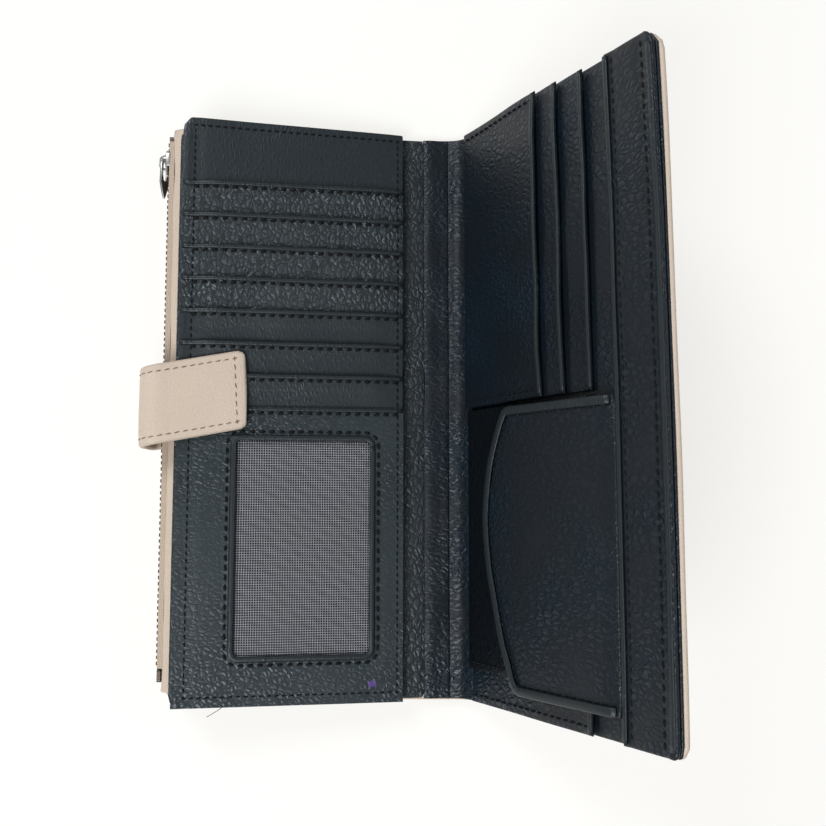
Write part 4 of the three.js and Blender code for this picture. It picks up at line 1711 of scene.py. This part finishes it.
@dataclass
class Zip:
    """The zip along the left edge: teeth, stops, slider and puller."""

    finishes: Finishes
    chain: tuple[float, float] = (-95.8, 9.5)
    low: float = -85.0
    high: float = 92.6
    pitch: float = 2.0
    tooth: tuple[float, float, float] = (1.75, 1.25, 2.7)
    mesh_offset: float = 0.85
    puller_pivot: tuple[float, float] = (-98.35, 87.3)
    puller_roll_deg: tuple[float, float] = (14.0, 30.0)
    puller_hole: tuple[float, float] = (1.5, 3.45)
    puller_hole_at: float = -4.0
    puller_thick: float = 0.8

    def tree(self) -> NodeTree:
        """Builds the tree of one row of teeth: a rounded block on each step of a line.

        Returns:
            The Geometry Nodes tree.
        """
        tree, given = new_tree(
            "zip_teeth",
            Pitch="Float",
            Count="Int",
            Start="Vector",
            Size="Vector",
            Seed="Int",
            Material="Material",
        )
        step = add_node(tree, "ShaderNodeCombineXYZ", {"Y": given["Pitch"]})
        line = add_node(
            tree,
            "GeometryNodeMeshLine",
            {"Count": given["Count"], "Start Location": given["Start"], "Offset": step.outputs[0]},
        )
        block = add_node(tree, "GeometryNodeMeshCube", {"Size": given["Size"]})
        rounded = add_node(
            tree,
            "GeometryNodeSubdivisionSurface",
            {"Mesh": block.outputs[0], "Level": 2, "Edge Crease": 0.55},
        )
        loose = add_node(
            tree,
            "FunctionNodeRandomValue",
            {0: (-0.05, -0.03, -0.05), 1: (0.05, 0.03, 0.05), "Seed": given["Seed"]},
            data_type="FLOAT_VECTOR",
        )
        end_tree(tree, copied(tree, line, rounded, loose), given["Material"])
        return tree

    def teeth(self) -> None:
        """Builds both rows of teeth, half a step apart, and dresses the stops."""
        tree = self.tree()
        x, z = self.chain
        for side, node in ((1, "zip_teeth_upper"), (-1, "zip_teeth_lower")):
            source = in_scene(node, bpy.data.meshes.new(node))
            start = self.low + (0.5 * self.pitch if side > 0 else 0.0)
            values = {
                "Pitch": self.pitch * MM,
                "Count": int((self.high - start) / self.pitch) + 1,
                "Start": Vector((x, start, z + side * self.mesh_offset)) * MM,
                "Size": Vector(self.tooth) * MM,
                "Seed": SEED,
                "Material": self.finishes.teeth,
            }
            name = "teeth_row_upper" if side > 0 else "teeth_row_lower"
            place(grow(source, tree, name, self.finishes.teeth, values), Body.LEFT, Slot.TEETH, node)
        for node in ("zip_top_stop", "zip_bottom_stop"):
            dress(node, self.finishes.teeth)

    def slider(self) -> None:
        """Builds the slider's front shell, its side flanges and its bail over the puller."""
        low, high, waist, top = 81.6, 89.8, 2.3, 3.2
        z = self.chain[1]
        mid = (low + high) / 2
        outline = [
            (low, z - waist),
            (mid, z - waist - 0.3),
            (high - 1.6, z - top),
            (high, z - top + 0.6),
            (high, z + top - 0.6),
            (high - 1.6, z + top),
            (mid, z + waist + 0.3),
            (low, z + waist),
        ]
        silver = self.finishes.silver
        face, shell_thick, flange_x, flange_thick, bail_thick = -96.98, 0.56, -96.5, 1.4, 1.2
        shell = plate(
            "slider_front", outline, (), lambda a, b, up: Vector((face - up, a, b)) * MM, shell_thick
        )
        place(cast(shell, "slider_front", silver), Body.SLIDER, Slot.METAL, "zip_slider_front")
        for side, name in ((1, "slider_flange_upper"), (-1, "slider_flange_lower")):
            inner, outer = z + side * 2.5, z + side * top
            rim = [
                (mid - 1.2, inner),
                (high - 0.7, inner),
                (high - 0.7, outer - side * 0.2),
                (high - 1.6, outer),
                (mid - 1.2, z + side * (waist + 0.5)),
            ]
            flange = plate(
                name, rim, (), lambda a, b, up: Vector((flange_x - up, a, b)) * MM, flange_thick
            )
            place(cast(flange, name, silver), Body.SLIDER, Slot.METAL)
        rim = [(-97.1, 83.4), (-99.2, 83.9), (-100.2, 84.9), (-100.2, 88.3), (-99.2, 89.3), (-97.1, 89.7)]
        hole = [(-97.1, 84.1), (-98.9, 84.5), (-99.6, 85.2), (-99.6, 88.0), (-98.9, 88.6), (-97.1, 89.0)]
        hoop = rim + hole[::-1]
        bail = plate("slider_bail", hoop, (), lambda a, b, up: Vector((a, b, z + up)) * MM, bail_thick)
        place(cast(bail, "slider_bail", silver), Body.SLIDER, Slot.METAL)

    def puller(self) -> None:
        """Builds the teardrop puller, turned on its bail and twisted further beyond the slider."""
        pivot = Vector((*self.puller_pivot, self.chain[1]))
        near, far = self.puller_roll_deg
        half = [(0.0, 0.55), (1.3, 0.35), (2.15, -0.5), (2.55, -2.2)]
        half += [(2.5, -5.0), (2.0, -8.0), (1.2, -11.0), (0.45, -13.2)]
        outline = half + [(0.0, -13.8)] + [(-a, b) for a, b in reversed(half[1:])]
        turn = [math.atan2(a, b + 3.9) for a, b in outline]
        wide, long = self.puller_hole
        hole = [(wide * math.sin(t), self.puller_hole_at + long * math.cos(t)) for t in turn]

        def spot(across: float, along: float, up: float) -> Vector:
            """The place of a point of the ring, rolled further beyond the slider."""
            beyond = clamped((-along - 5.2) / 3.0)
            roll = math.radians(near + (far - near) * beyond * beyond * (3 - 2 * beyond))
            width = Vector((-math.sin(roll), 0, math.cos(roll)))
            face = Vector((-math.cos(roll), 0, -math.sin(roll)))
            return (pivot + width * across + Vector((0, along, 0)) + face * up) * MM

        ring = plate("puller_ring", outline, hole, spot, self.puller_thick)
        place(cast(ring, "puller_ring", self.finishes.silver), Body.PULLER, Slot.METAL, "zip_puller")

    def build(self) -> None:
        """Builds every piece of the zip."""
        self.teeth()
        self.slider()
        self.puller()
        polished("zip_slider_back", "slider_back", self.finishes.silver, Body.SLIDER, 0.15)


@dataclass
class Strap:
    """The closing strap: from beside the zip, over its bend, down onto the card panel."""

    finishes: Finishes
    width: float = 26.4
    centre: float = 1.9
    tip_slant: float = 0.06
    thickness: float = 2.2
    skew_deg: float = 11.0
    pivot: float = -89.8
    seam: float = 2.6
    sewn_length: float = 40.0

    def path(self) -> Path:
        """The strap's middle line from its root to its tip."""
        root = [(-84.0, 3.3), (-90.0, 3.2), (-97.0, 3.3)]
        bend = [(-100.2, 4.8), (-101.2, 8.0), (-101.2, 13.0), (-101.1, 18.5), (-99.8, 21.6)]
        arm = [(-96.5, 23.0), (-91.5, 22.2), (-84.0, 21.0), (-76.0, 19.7), (-66.9, 18.3)]
        return Path(root + bend + arm)

    def build(self) -> None:
        """Builds the strap, its stitches and its magnet."""
        path = self.path()
        lean = math.tan(math.radians(self.skew_deg))
        half = self.width / 2
        tip = path.length

        def puff(station: float, along: float) -> float:
            """The strap's rise inside its seam."""
            inner = min(half - abs(along - self.centre), tip - station)
            return 0.25 * clamped(inner / 4) + groove(inner - self.seam, 0.3, 0.7)

        surface = path.surface(
            lambda s, y: puff(s, y) * 0.6 + ripple(s, y, 14, 0.25, 130.0), lean, self.pivot
        )
        sheet = Sheet(
            lambda y, s: surface(s + self.tip_slant * (self.centre - y) * s / tip, y),
            0.0,
            tip,
            cornered(self.centre - half, self.centre + half, 0.0, tip, (1, 1, 3, 3)),
            even(self.thickness),
            step=1.4,
        )
        mesh = sheet.mesh("closing_strap")
        build = bmesh.new()
        build.from_mesh(mesh)
        bmesh.ops.recalc_face_normals(build, faces=build.faces)
        piece = link(kept(build, mesh), "closing_strap", self.finishes.beige)
        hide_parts("strap_root", "strap_arm")
        runs = StitchRuns(self.finishes.brown_thread)
        lift = (self.thickness / 2 + 0.12) * MM

        def sewn(station: float, along: float) -> Spot:
            """A stitch's place on the strap."""
            spot, normal = surface(station + self.tip_slant * (self.centre - along) * station / tip, along)
            return spot + normal * lift, normal

        low, high = self.centre - half + self.seam, self.centre + half - self.seam
        start, end = tip - self.sewn_length, tip - self.seam - 1.0
        runs.add(run_of(lambda s: sewn(s, high), start, end, 1.0))
        runs.add(run_of(lambda y: sewn(end, y), high, low, 1.0))
        runs.add(run_of(lambda s: sewn(s, low), end, start, 1.0))
        thread = runs.build("stitches_strap", pitch=2.7, length=2.0, thickness=0.36)
        for soft in (piece, thread):
            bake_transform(soft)
        polished("strap_magnet", "magnet_under_strap", self.finishes.silver, Body.STRAP, 0.2)
        polished("cover_magnet", "magnet_on_cover", self.finishes.silver, Body.RIGHT, 0.25)


@dataclass
class Spine:
    """The outer covers of both halves and the spine between them, and the spine's lining."""

    finishes: Finishes
    right: Level
    half: float = 97.5
    cover: float = 1.8
    cover_depth: float = -2.9
    join: float = 0.0
    right_width: float = 93.2

    def right_point(self, across: float, up: float) -> tuple[float, float]:
        """A point of the right half as X and Z in mm."""
        spot = self.right.point(across, 0, up) / MM
        return spot.x, spot.z

    def covers(self) -> None:
        """Builds the beige cover in two sheets that meet under the spine."""
        mid = self.cover / 2
        left_path = Path([(-97.5, mid), (-60, mid), (-20, mid), (-10, mid), (-6, mid), (self.join, mid)])
        edge = left_path.length
        left_sheet = Sheet(
            left_path.surface(even(0.0)),
            -self.half,
            self.half,
            cornered(0.0, edge, -self.half, self.half, (6, 0, 0, 6)),
            even(self.cover),
            step=3.0,
        )
        left = link(left_sheet.mesh("cover_left_leather"), "cover_left_leather", self.finishes.beige)
        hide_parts("cover_left", "spine_cover")
        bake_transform(left)
        right_path = Path(
            [
                (self.join, mid),
                (3.5, mid),
                (6.6, 1.35),
                (8.6, 2.5),
                *(self.right_point(x, self.cover_depth) for x in (2.0, 5.0, 30.0, 60.0, self.right_width)),
            ]
        )
        run = right_path.length
        loose = right_path.surface(
            lambda s, y: ripple(s, y, 40, 0.5 * clamped((s - 16) / 20), 150.0)
        )
        right_sheet = Sheet(
            twisted(loose, self.right),
            -self.half,
            self.half,
            cornered(0.0, run, -self.half, self.half, (0, 4, 6, 0)),
            even(self.cover),
            step=2.4,
        )
        right = link(right_sheet.mesh("cover_right_leather"), "cover_right_leather", self.finishes.beige)
        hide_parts("cover_right")
        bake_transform(right)

    def lining(self) -> None:
        """Builds the black spine lining in two sheets that meet in its crease."""
        half = self.half - 0.7
        left_path = Path([(-8.4, 3.1), (-6.6, 3.35), (-4.5, 3.1), (-2.0, 2.75), (0.4, 2.7)])
        left_sheet = Sheet(
            left_path.surface(lambda s, y: ripple(s * 2, y, 16, 0.5, 170.0)),
            -half,
            half,
            straight(0.0, left_path.length),
            even(1.0),
            step=1.5,
        )
        left = link(left_sheet.mesh("spine_lining_left"), "spine_lining_left", self.finishes.black_cool)
        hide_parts("spine_lining")
        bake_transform(left)
        right_path = Path([(0.2, 2.7), (2.2, 2.85), (4.2, 3.35), (5.8, 4.5), self.right_point(2.6, -0.2)])
        right_sheet = Sheet(
            right_path.surface(lambda s, y: ripple(s * 2, y, 16, 0.4, 190.0)),
            -half,
            half,
            straight(0.0, right_path.length),
            even(1.0),
            step=1.5,
        )
        right = link(right_sheet.mesh("spine_lining_right"), "spine_lining_right", self.finishes.black_cool)
        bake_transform(right)

    def build(self) -> None:
        """Builds the covers and the lining."""
        self.covers()
        self.lining()


@dataclass
class RightHalf:
    """The raised half: pockets that stand open, the coin pocket with its flap, and the outer band."""

    finishes: Finishes
    level: Level = Level(x=7.04, z=4.8, rise_deg=58.0, twist_deg=2.0)
    half: float = 97.5
    width: float = 93.2
    lining_inset: float = 0.6
    edge_inset: float = 0.5
    leather: float = 0.8
    band_width: float = 19.6
    band_seams: tuple[float, float] = (3.2, 4.6)
    band_leather: float = 1.5
    divider: float = 0.9
    root: float = 1.6
    flap_top: float = -1.1
    flap_length: float = 88.6
    flap_tip: float = 18.0
    flap_root: float = 73.2
    flap_corner: float = 5.0
    flap_edge: tuple[tuple[float, float], ...] = (
        (10.0, 0.0),
        (7.2, 0.06),
        (4.2, 0.14),
        (2.1, 0.21),
        (0.6, 0.31),
        (0.0, 0.41),
        (1.5, 0.58),
        (4.6, 0.72),
        (7.4, 0.83),
        (10.5, 0.92),
        (12.2, 1.0),
    )

    def wall(
        self,
        name: str,
        node: str,
        edge: float,
        low: float,
        high: float,
        root_rise: float,
        edge_rise: float,
        seed: float,
        finish: Material,
    ) -> Height:
        """Builds a pocket wall that stands away from the half towards its free edge.

        Args:
            name: The piece's name.
            node: The CAD node that it replaces.
            edge: Place of the free edge.
            low: Lower end.
            high: Upper end.
            root_rise: Height at the sewn side.
            edge_rise: Height at the free edge.
            seed: Where in the noise it lies.
            finish: The wall's leather.

        Returns:
            The height of the wall's middle at a place.
        """

        def height(across: float, along: float) -> float:
            """The wall's middle, lifted towards its free edge and held down at its ends."""
            share = max(0.0, (across - self.root) / (edge - self.root))
            ends = clamped(min(along - low, high - along) / 14)
            open_by = (edge_rise - root_rise) * share**1.3 * (0.6 + 0.55 * ends)
            hem = groove(across - edge + 2.0, 0.18, 0.7)
            return root_rise + open_by + 0.35 + hem + ripple(across, along, 22, 0.6 * share, seed)

        def thick(across: float, _along: float) -> float:
            """The leather, thicker where it is turned under."""
            return self.leather + 0.35 * clamped((across - edge + 4.2) / 0.7)

        sheet = Sheet(level_surface(self.level, height), low, high, straight(self.root, edge), thick)
        sheet.laid(name, finish, Body.RIGHT, Slot.BLACK, node)
        return height

    @property
    def band_edges(self) -> tuple[float, float]:
        """Inner and outer edge of the outer band."""
        right = self.width - self.lining_inset
        return right - self.band_width, right

    def band_height(self, across: float, along: float) -> float:
        """Gives the middle of the outer band's leather.

        Args:
            across: Place across the half in mm.
            along: Place along it in mm.

        Returns:
            The height in mm.
        """
        left, right = self.band_edges
        seams = self.band_seams
        pull = groove(across - left - seams[0], 0.3, 0.7) + groove(right - seams[1] - across, 0.3, 0.7)
        rim = 0.4 * math.exp(-(((across - left - 1.2) / 1.2) ** 2))
        rim += 0.3 * math.exp(-(((right - 1.6 - across) / 1.4) ** 2))
        return 0.35 + pull + rim + ripple(across, along, 30, 0.35, 220.0)

    def lining(self) -> None:
        """Builds the leather behind the pockets."""
        high = self.half - self.edge_inset
        right = self.width - self.lining_inset
        sheet = Sheet(
            level_surface(self.level, even(-1.2)),
            -high,
            high,
            cornered(0.3, right, -high, high, (0, 2, 4, 0)),
            even(1.0),
            step=3.0,
        )
        cool = self.finishes.black_cool
        sheet.laid("raised_half_lining", cool, Body.RIGHT, Slot.CLOTH, "right_lining")

    def band(self) -> None:
        """Builds the outer band."""
        left, right = self.band_edges
        high = self.half - self.edge_inset
        sheet = Sheet(
            level_surface(self.level, self.band_height),
            -high,
            high,
            cornered(left, right, -high, high, (0, 2, 4, 0)),
            even(self.band_leather),
        )
        cool = self.finishes.black_cool
        sheet.laid("outer_band_leather", cool, Body.RIGHT, Slot.BLACK, "outer_band")

    def flap_limits(self, along: float) -> tuple[float, float]:
        """Gives the free edge and the root of the coin flap.

        Args:
            along: Place along the flap in mm.

        Returns:
            Both places across the half in mm.
        """
        share = clamped((self.flap_top - along) / self.flap_length)
        marks = self.flap_edge
        index = next((i for i in range(1, len(marks)) if share <= marks[i][1]), len(marks) - 1)
        (one, low), (other, high) = marks[index - 1], marks[index]
        part = clamped((share - low) / (high - low))
        before = marks[max(0, index - 2)][0]
        after = marks[min(len(marks) - 1, index + 1)][0]
        bow = 0.5 * (
            2 * one
            + (other - before) * part
            + (2 * before - 5 * one + 4 * other - after) * part**2
            + (3 * one - before - 3 * other + after) * part**3
        )
        depth = along - (self.flap_top - self.flap_length)
        if depth < self.flap_corner:
            reach = self.flap_corner - depth
            bow += self.flap_corner - math.sqrt(max(0.0, self.flap_corner**2 - reach**2))
        return self.flap_tip + bow, self.flap_root

    def flap_height(self, across: float, along: float) -> float:
        """Gives the middle of the flap's leather.

        Args:
            across: Place across the half in mm.
            along: Place along it in mm.

        Returns:
            The height in mm.
        """
        share = (self.flap_root - across) / (self.flap_root - self.flap_tip)
        free, _root = self.flap_limits(along)
        near = min(across - free, self.flap_top - along, along - self.flap_top + self.flap_length)
        settle = -0.7 * math.exp(-(((self.flap_root - across) / 3.5) ** 2))
        lift = 1.95 + 4.2 * share + settle + 0.75 * math.exp(-(((near - 1.1) / 1.0) ** 2))
        return lift + groove(near - 2.9, 0.3, 0.7) + ripple(across, along, 28, 0.7 * share, 250.0)

    def flap(self) -> None:
        """Builds the coin flap with its turned edge."""
        sheet = Sheet(
            level_surface(self.level, self.flap_height),
            self.flap_top - self.flap_length,
            self.flap_top,
            self.flap_limits,
            even(1.1),
            step=1.6,
        )
        cool = self.finishes.black_cool
        sheet.laid("coin_flap_leather", cool, Body.FLAP, Slot.BLACK, "coin_flap")
        runs = StitchRuns(self.finishes.black_thread)

        def sewn(across: float, along: float) -> Spot:
            """A place on the top of the flap."""
            height = self.flap_height(across, along) + 0.7
            return self.level.point(across, along, height), self.level.normal

        inset = 2.9
        high, low = self.flap_top - inset, self.flap_top - self.flap_length + inset
        runs.add(run_of(lambda x: sewn(x, high), self.flap_root - 2, self.flap_limits(high)[0] + inset))
        runs.add(run_of(lambda y: sewn(self.flap_limits(y)[0] + inset, y), high, low, 1.5))
        runs.add(run_of(lambda x: sewn(x, low), self.flap_limits(low)[0] + inset, self.flap_root - 2))
        rows = runs.build("stitches_coin_flap", pitch=2.9, length=2.0, thickness=0.85)
        place(rows, Body.FLAP, Slot.BLACK)
        near = 1.5
        high, low = self.flap_top - near, self.flap_top - self.flap_length + near
        edge = run_of(lambda x: sewn(x, high), self.flap_root - 1, self.flap_limits(high)[0] + near + 1)
        edge += run_of(lambda y: sewn(self.flap_limits(y)[0] + near, y), high - 0.7, low + 0.7, 1.2)
        edge += run_of(lambda x: sewn(x, low), self.flap_limits(low)[0] + near + 1, self.flap_root - 1)
        ridge = ridges("turned_edge_flap", [(edge, 2.9, 0.42)], self.finishes.black_smooth)
        place(ridge, Body.FLAP, Slot.BLACK)

    def build(self) -> None:
        """Builds every piece of the right half."""
        high = self.half - self.edge_inset
        seat, step = -0.4, 1.1
        cool, deep = self.finishes.black_cool, self.finishes.black_deep
        start, ceiling, coin_end = self.divider, self.divider - 1.0, -86.0
        heights = [
            self.wall(name, node, edge, low, top, seat + step * root, seat + step * rise, seed, finish)
            for name, node, edge, low, top, root, rise, seed, finish in (
                ("pocket_wall_upper_3", "upper_slot_3", 63.0, start, high, 0, 0.6, 310.0, cool),
                ("pocket_wall_upper_2", "upper_slot_2", 52.4, start, high, 1, 2.1, 320.0, cool),
                ("pocket_wall_upper_1", "upper_slot_1", 43.6, start, high, 2, 3.6, 330.0, cool),
                ("pocket_wall_lower", "lower_slot", 60.6, -high, ceiling, 0, 0.6, 340.0, cool),
                ("coin_pocket_wall", "coin_pocket", 26.0, coin_end, ceiling, 1, 1.9, 350.0, deep),
            )
        ]
        third, second, first, lower, coin = heights
        self.lining()
        self.band()
        self.flap()
        runs = StitchRuns(self.finishes.black_thread)
        proud = self.leather / 2 + 0.14

        def sewn(height: Height, lift: float) -> Surface:
            """Places at a lift over a leather's middle."""
            return lambda x, y: (self.level.point(x, y, height(x, y) + lift), self.level.normal)

        on_band = sewn(self.band_height, self.band_leather / 2 + 0.12)
        left, right = self.band_edges
        inner_seam, outer_seam = left + self.band_seams[0], right - self.band_seams[1]
        runs.add(run_of(lambda y: on_band(inner_seam, y), -high + 3, high - 3))
        runs.add(run_of(lambda y: on_band(outer_seam, y), -high + 3, high - 3))
        on_first, on_lower, on_coin = sewn(first, proud), sewn(lower, proud), sewn(coin, proud)
        runs.add(run_of(lambda x: on_first(x, high - 2.4), 4.0, 42.0))
        runs.add(run_of(lambda x: on_first(x, self.divider + 2.4), 4.0, 42.0))
        runs.add(run_of(lambda x: on_lower(x, -high + 2.4), 4.0, 58.0))
        runs.add(run_of(lambda x: on_coin(x, coin_end + 2.2), 4.0, 25.0))
        rows = runs.build("stitches_right_half", pitch=2.9, length=2.0, thickness=0.85)
        place(rows, Body.RIGHT, Slot.BLACK)
        on_lip = sewn(self.band_height, self.band_leather / 2)
        rows = [
            (run_of(lambda y: on_lip(left + 1.0, y), -high + 1, high - 1), 2.0, 0.4),
            (run_of(lambda y: on_lip(right - 1.4, y), -high + 2, high - 4), 2.2, 0.35),
        ]
        for reach, height, low_end, high_end in (
            (43.6, first, start, high),
            (52.4, second, start, high),
            (63.0, third, start, high),
            (60.6, lower, -high, ceiling),
        ):
            on_edge = sewn(height, self.leather / 2 + 0.1)
            row = run_of(lambda y, x=reach, on=on_edge: on(x - 0.9, y), low_end + 0.5, high_end - 0.5)
            rows.append((row, 1.8, 0.4))
        place(ridges("turned_edges_right", rows, self.finishes.black_smooth), Body.RIGHT, Slot.BLACK)


@dataclass
class Studio:
    """The pale table, the soft light and the camera of the photograph's view."""

    camera_mm: tuple[float, float, float] = (-12.0, -32.3, 336.0)
    pitch_deg: float = 5.48
    lens_px: float = 967.0
    frame_px: float = 826.0
    sensor_mm: float = 36.0
    table_reach_m: float = 3.0
    table_gap_mm: float = 0.1
    table_glow: float = 0.72
    sky_strength: float = 0.22

    def camera(self) -> None:
        """Sets the camera from the view that fits the wallet's corners in the photograph."""
        data = bpy.data.cameras.new("camera")
        data.sensor_width = self.sensor_mm
        data.lens = self.sensor_mm * self.lens_px / self.frame_px
        data.clip_start = 0.01
        eye = in_scene("camera", data)
        eye.location = [c * MM for c in self.camera_mm]
        eye.rotation_euler = (math.radians(self.pitch_deg), 0, 0)
        bpy.context.scene.camera = eye

    def table(self) -> None:
        """Lays a pale table that shows white to the camera and keeps the wallet's shadow."""
        mesh = bpy.data.meshes.new("table")
        reach = self.table_reach_m
        corners = [(-reach, -reach, 0), (reach, -reach, 0), (reach, reach, 0), (-reach, reach, 0)]
        mesh.from_pydata(corners, [], [(0, 1, 2, 3)])
        material, tree, output = new_material("pale_table")
        seen = add_node(tree, "ShaderNodeLightPath").outputs
        matt = add_node(tree, "ShaderNodeBsdfDiffuse", {"Color": linear("f7f4ef")})
        white = add_node(tree, "ShaderNodeEmission", {"Color": linear("fffdf9"), "Strength": 1.0})
        direct = maths(tree, "MAXIMUM", seen["Is Camera Ray"], seen["Is Glossy Ray"])
        every = maths(tree, "MAXIMUM", direct, seen["Is Transmission Ray"])
        share = maths(tree, "MULTIPLY", every, self.table_glow)
        mix = add_node(tree, "ShaderNodeMixShader", {0: share, 1: matt.outputs[0], 2: white.outputs[0]})
        tree.links.new(mix.outputs[0], output.inputs[0])
        table = link(mesh, "table", material, smooth=False)
        table.location.z = -self.table_gap_mm * MM

    def light(self) -> None:
        """Hangs three soft lamps and a pale sky."""
        for name, spot, size, power, colour in (
            ("window", (-0.3, -0.55, 0.85), 0.6, 8.8, "f3f9ff"),
            ("lamp", (-0.45, 0.6, 0.7), 0.45, 5.0, "f0f8ff"),
            ("fill", (0.75, 0.1, 0.75), 0.6, 2.2, "e8f4ff"),
        ):
            data = bpy.data.lights.new(name, "AREA")
            data.shape = "DISK"
            data.size = size
            data.energy = power
            data.color = linear(colour)[:3]
            lamp = in_scene(name, data)
            lamp.location = spot
            lamp.rotation_euler = (-Vector(spot)).to_track_quat("-Z", "Y").to_euler()
        world = bpy.data.worlds.new("sky")
        world.use_nodes = True
        tree = world.node_tree
        tree.nodes.clear()
        seen = add_node(tree, "ShaderNodeLightPath").outputs
        glow = {"Color": linear("f4f6fa"), "Strength": self.sky_strength}
        soft = add_node(tree, "ShaderNodeBackground", glow)
        white = add_node(tree, "ShaderNodeBackground", {"Color": (1, 1, 1, 1), "Strength": 1.0})
        mix = add_node(
            tree, "ShaderNodeMixShader", {0: seen["Is Camera Ray"], 1: soft.outputs[0], 2: white.outputs[0]}
        )
        add_node(tree, "ShaderNodeOutputWorld", {0: mix.outputs[0]})
        bpy.context.scene.world = world

    def build(self) -> None:
        """Sets the view, the table and the light."""
        bpy.context.scene.view_settings.view_transform = "Standard"
        self.camera()
        self.table()
        self.light()


def main() -> None:
    """Builds the studio and the wallet's parts in order."""
    logging.basicConfig(level=logging.INFO, format="%(name)s: %(message)s")
    Studio().build()
    finishes = Finishes()
    left = LeftHalf(finishes)
    left.build()
    right = RightHalf(finishes)
    right.build()
    Spine(finishes, right.level).build()
    Zip(finishes).build()
    Strap(finishes).build()


if __name__ == "__main__":
    main()
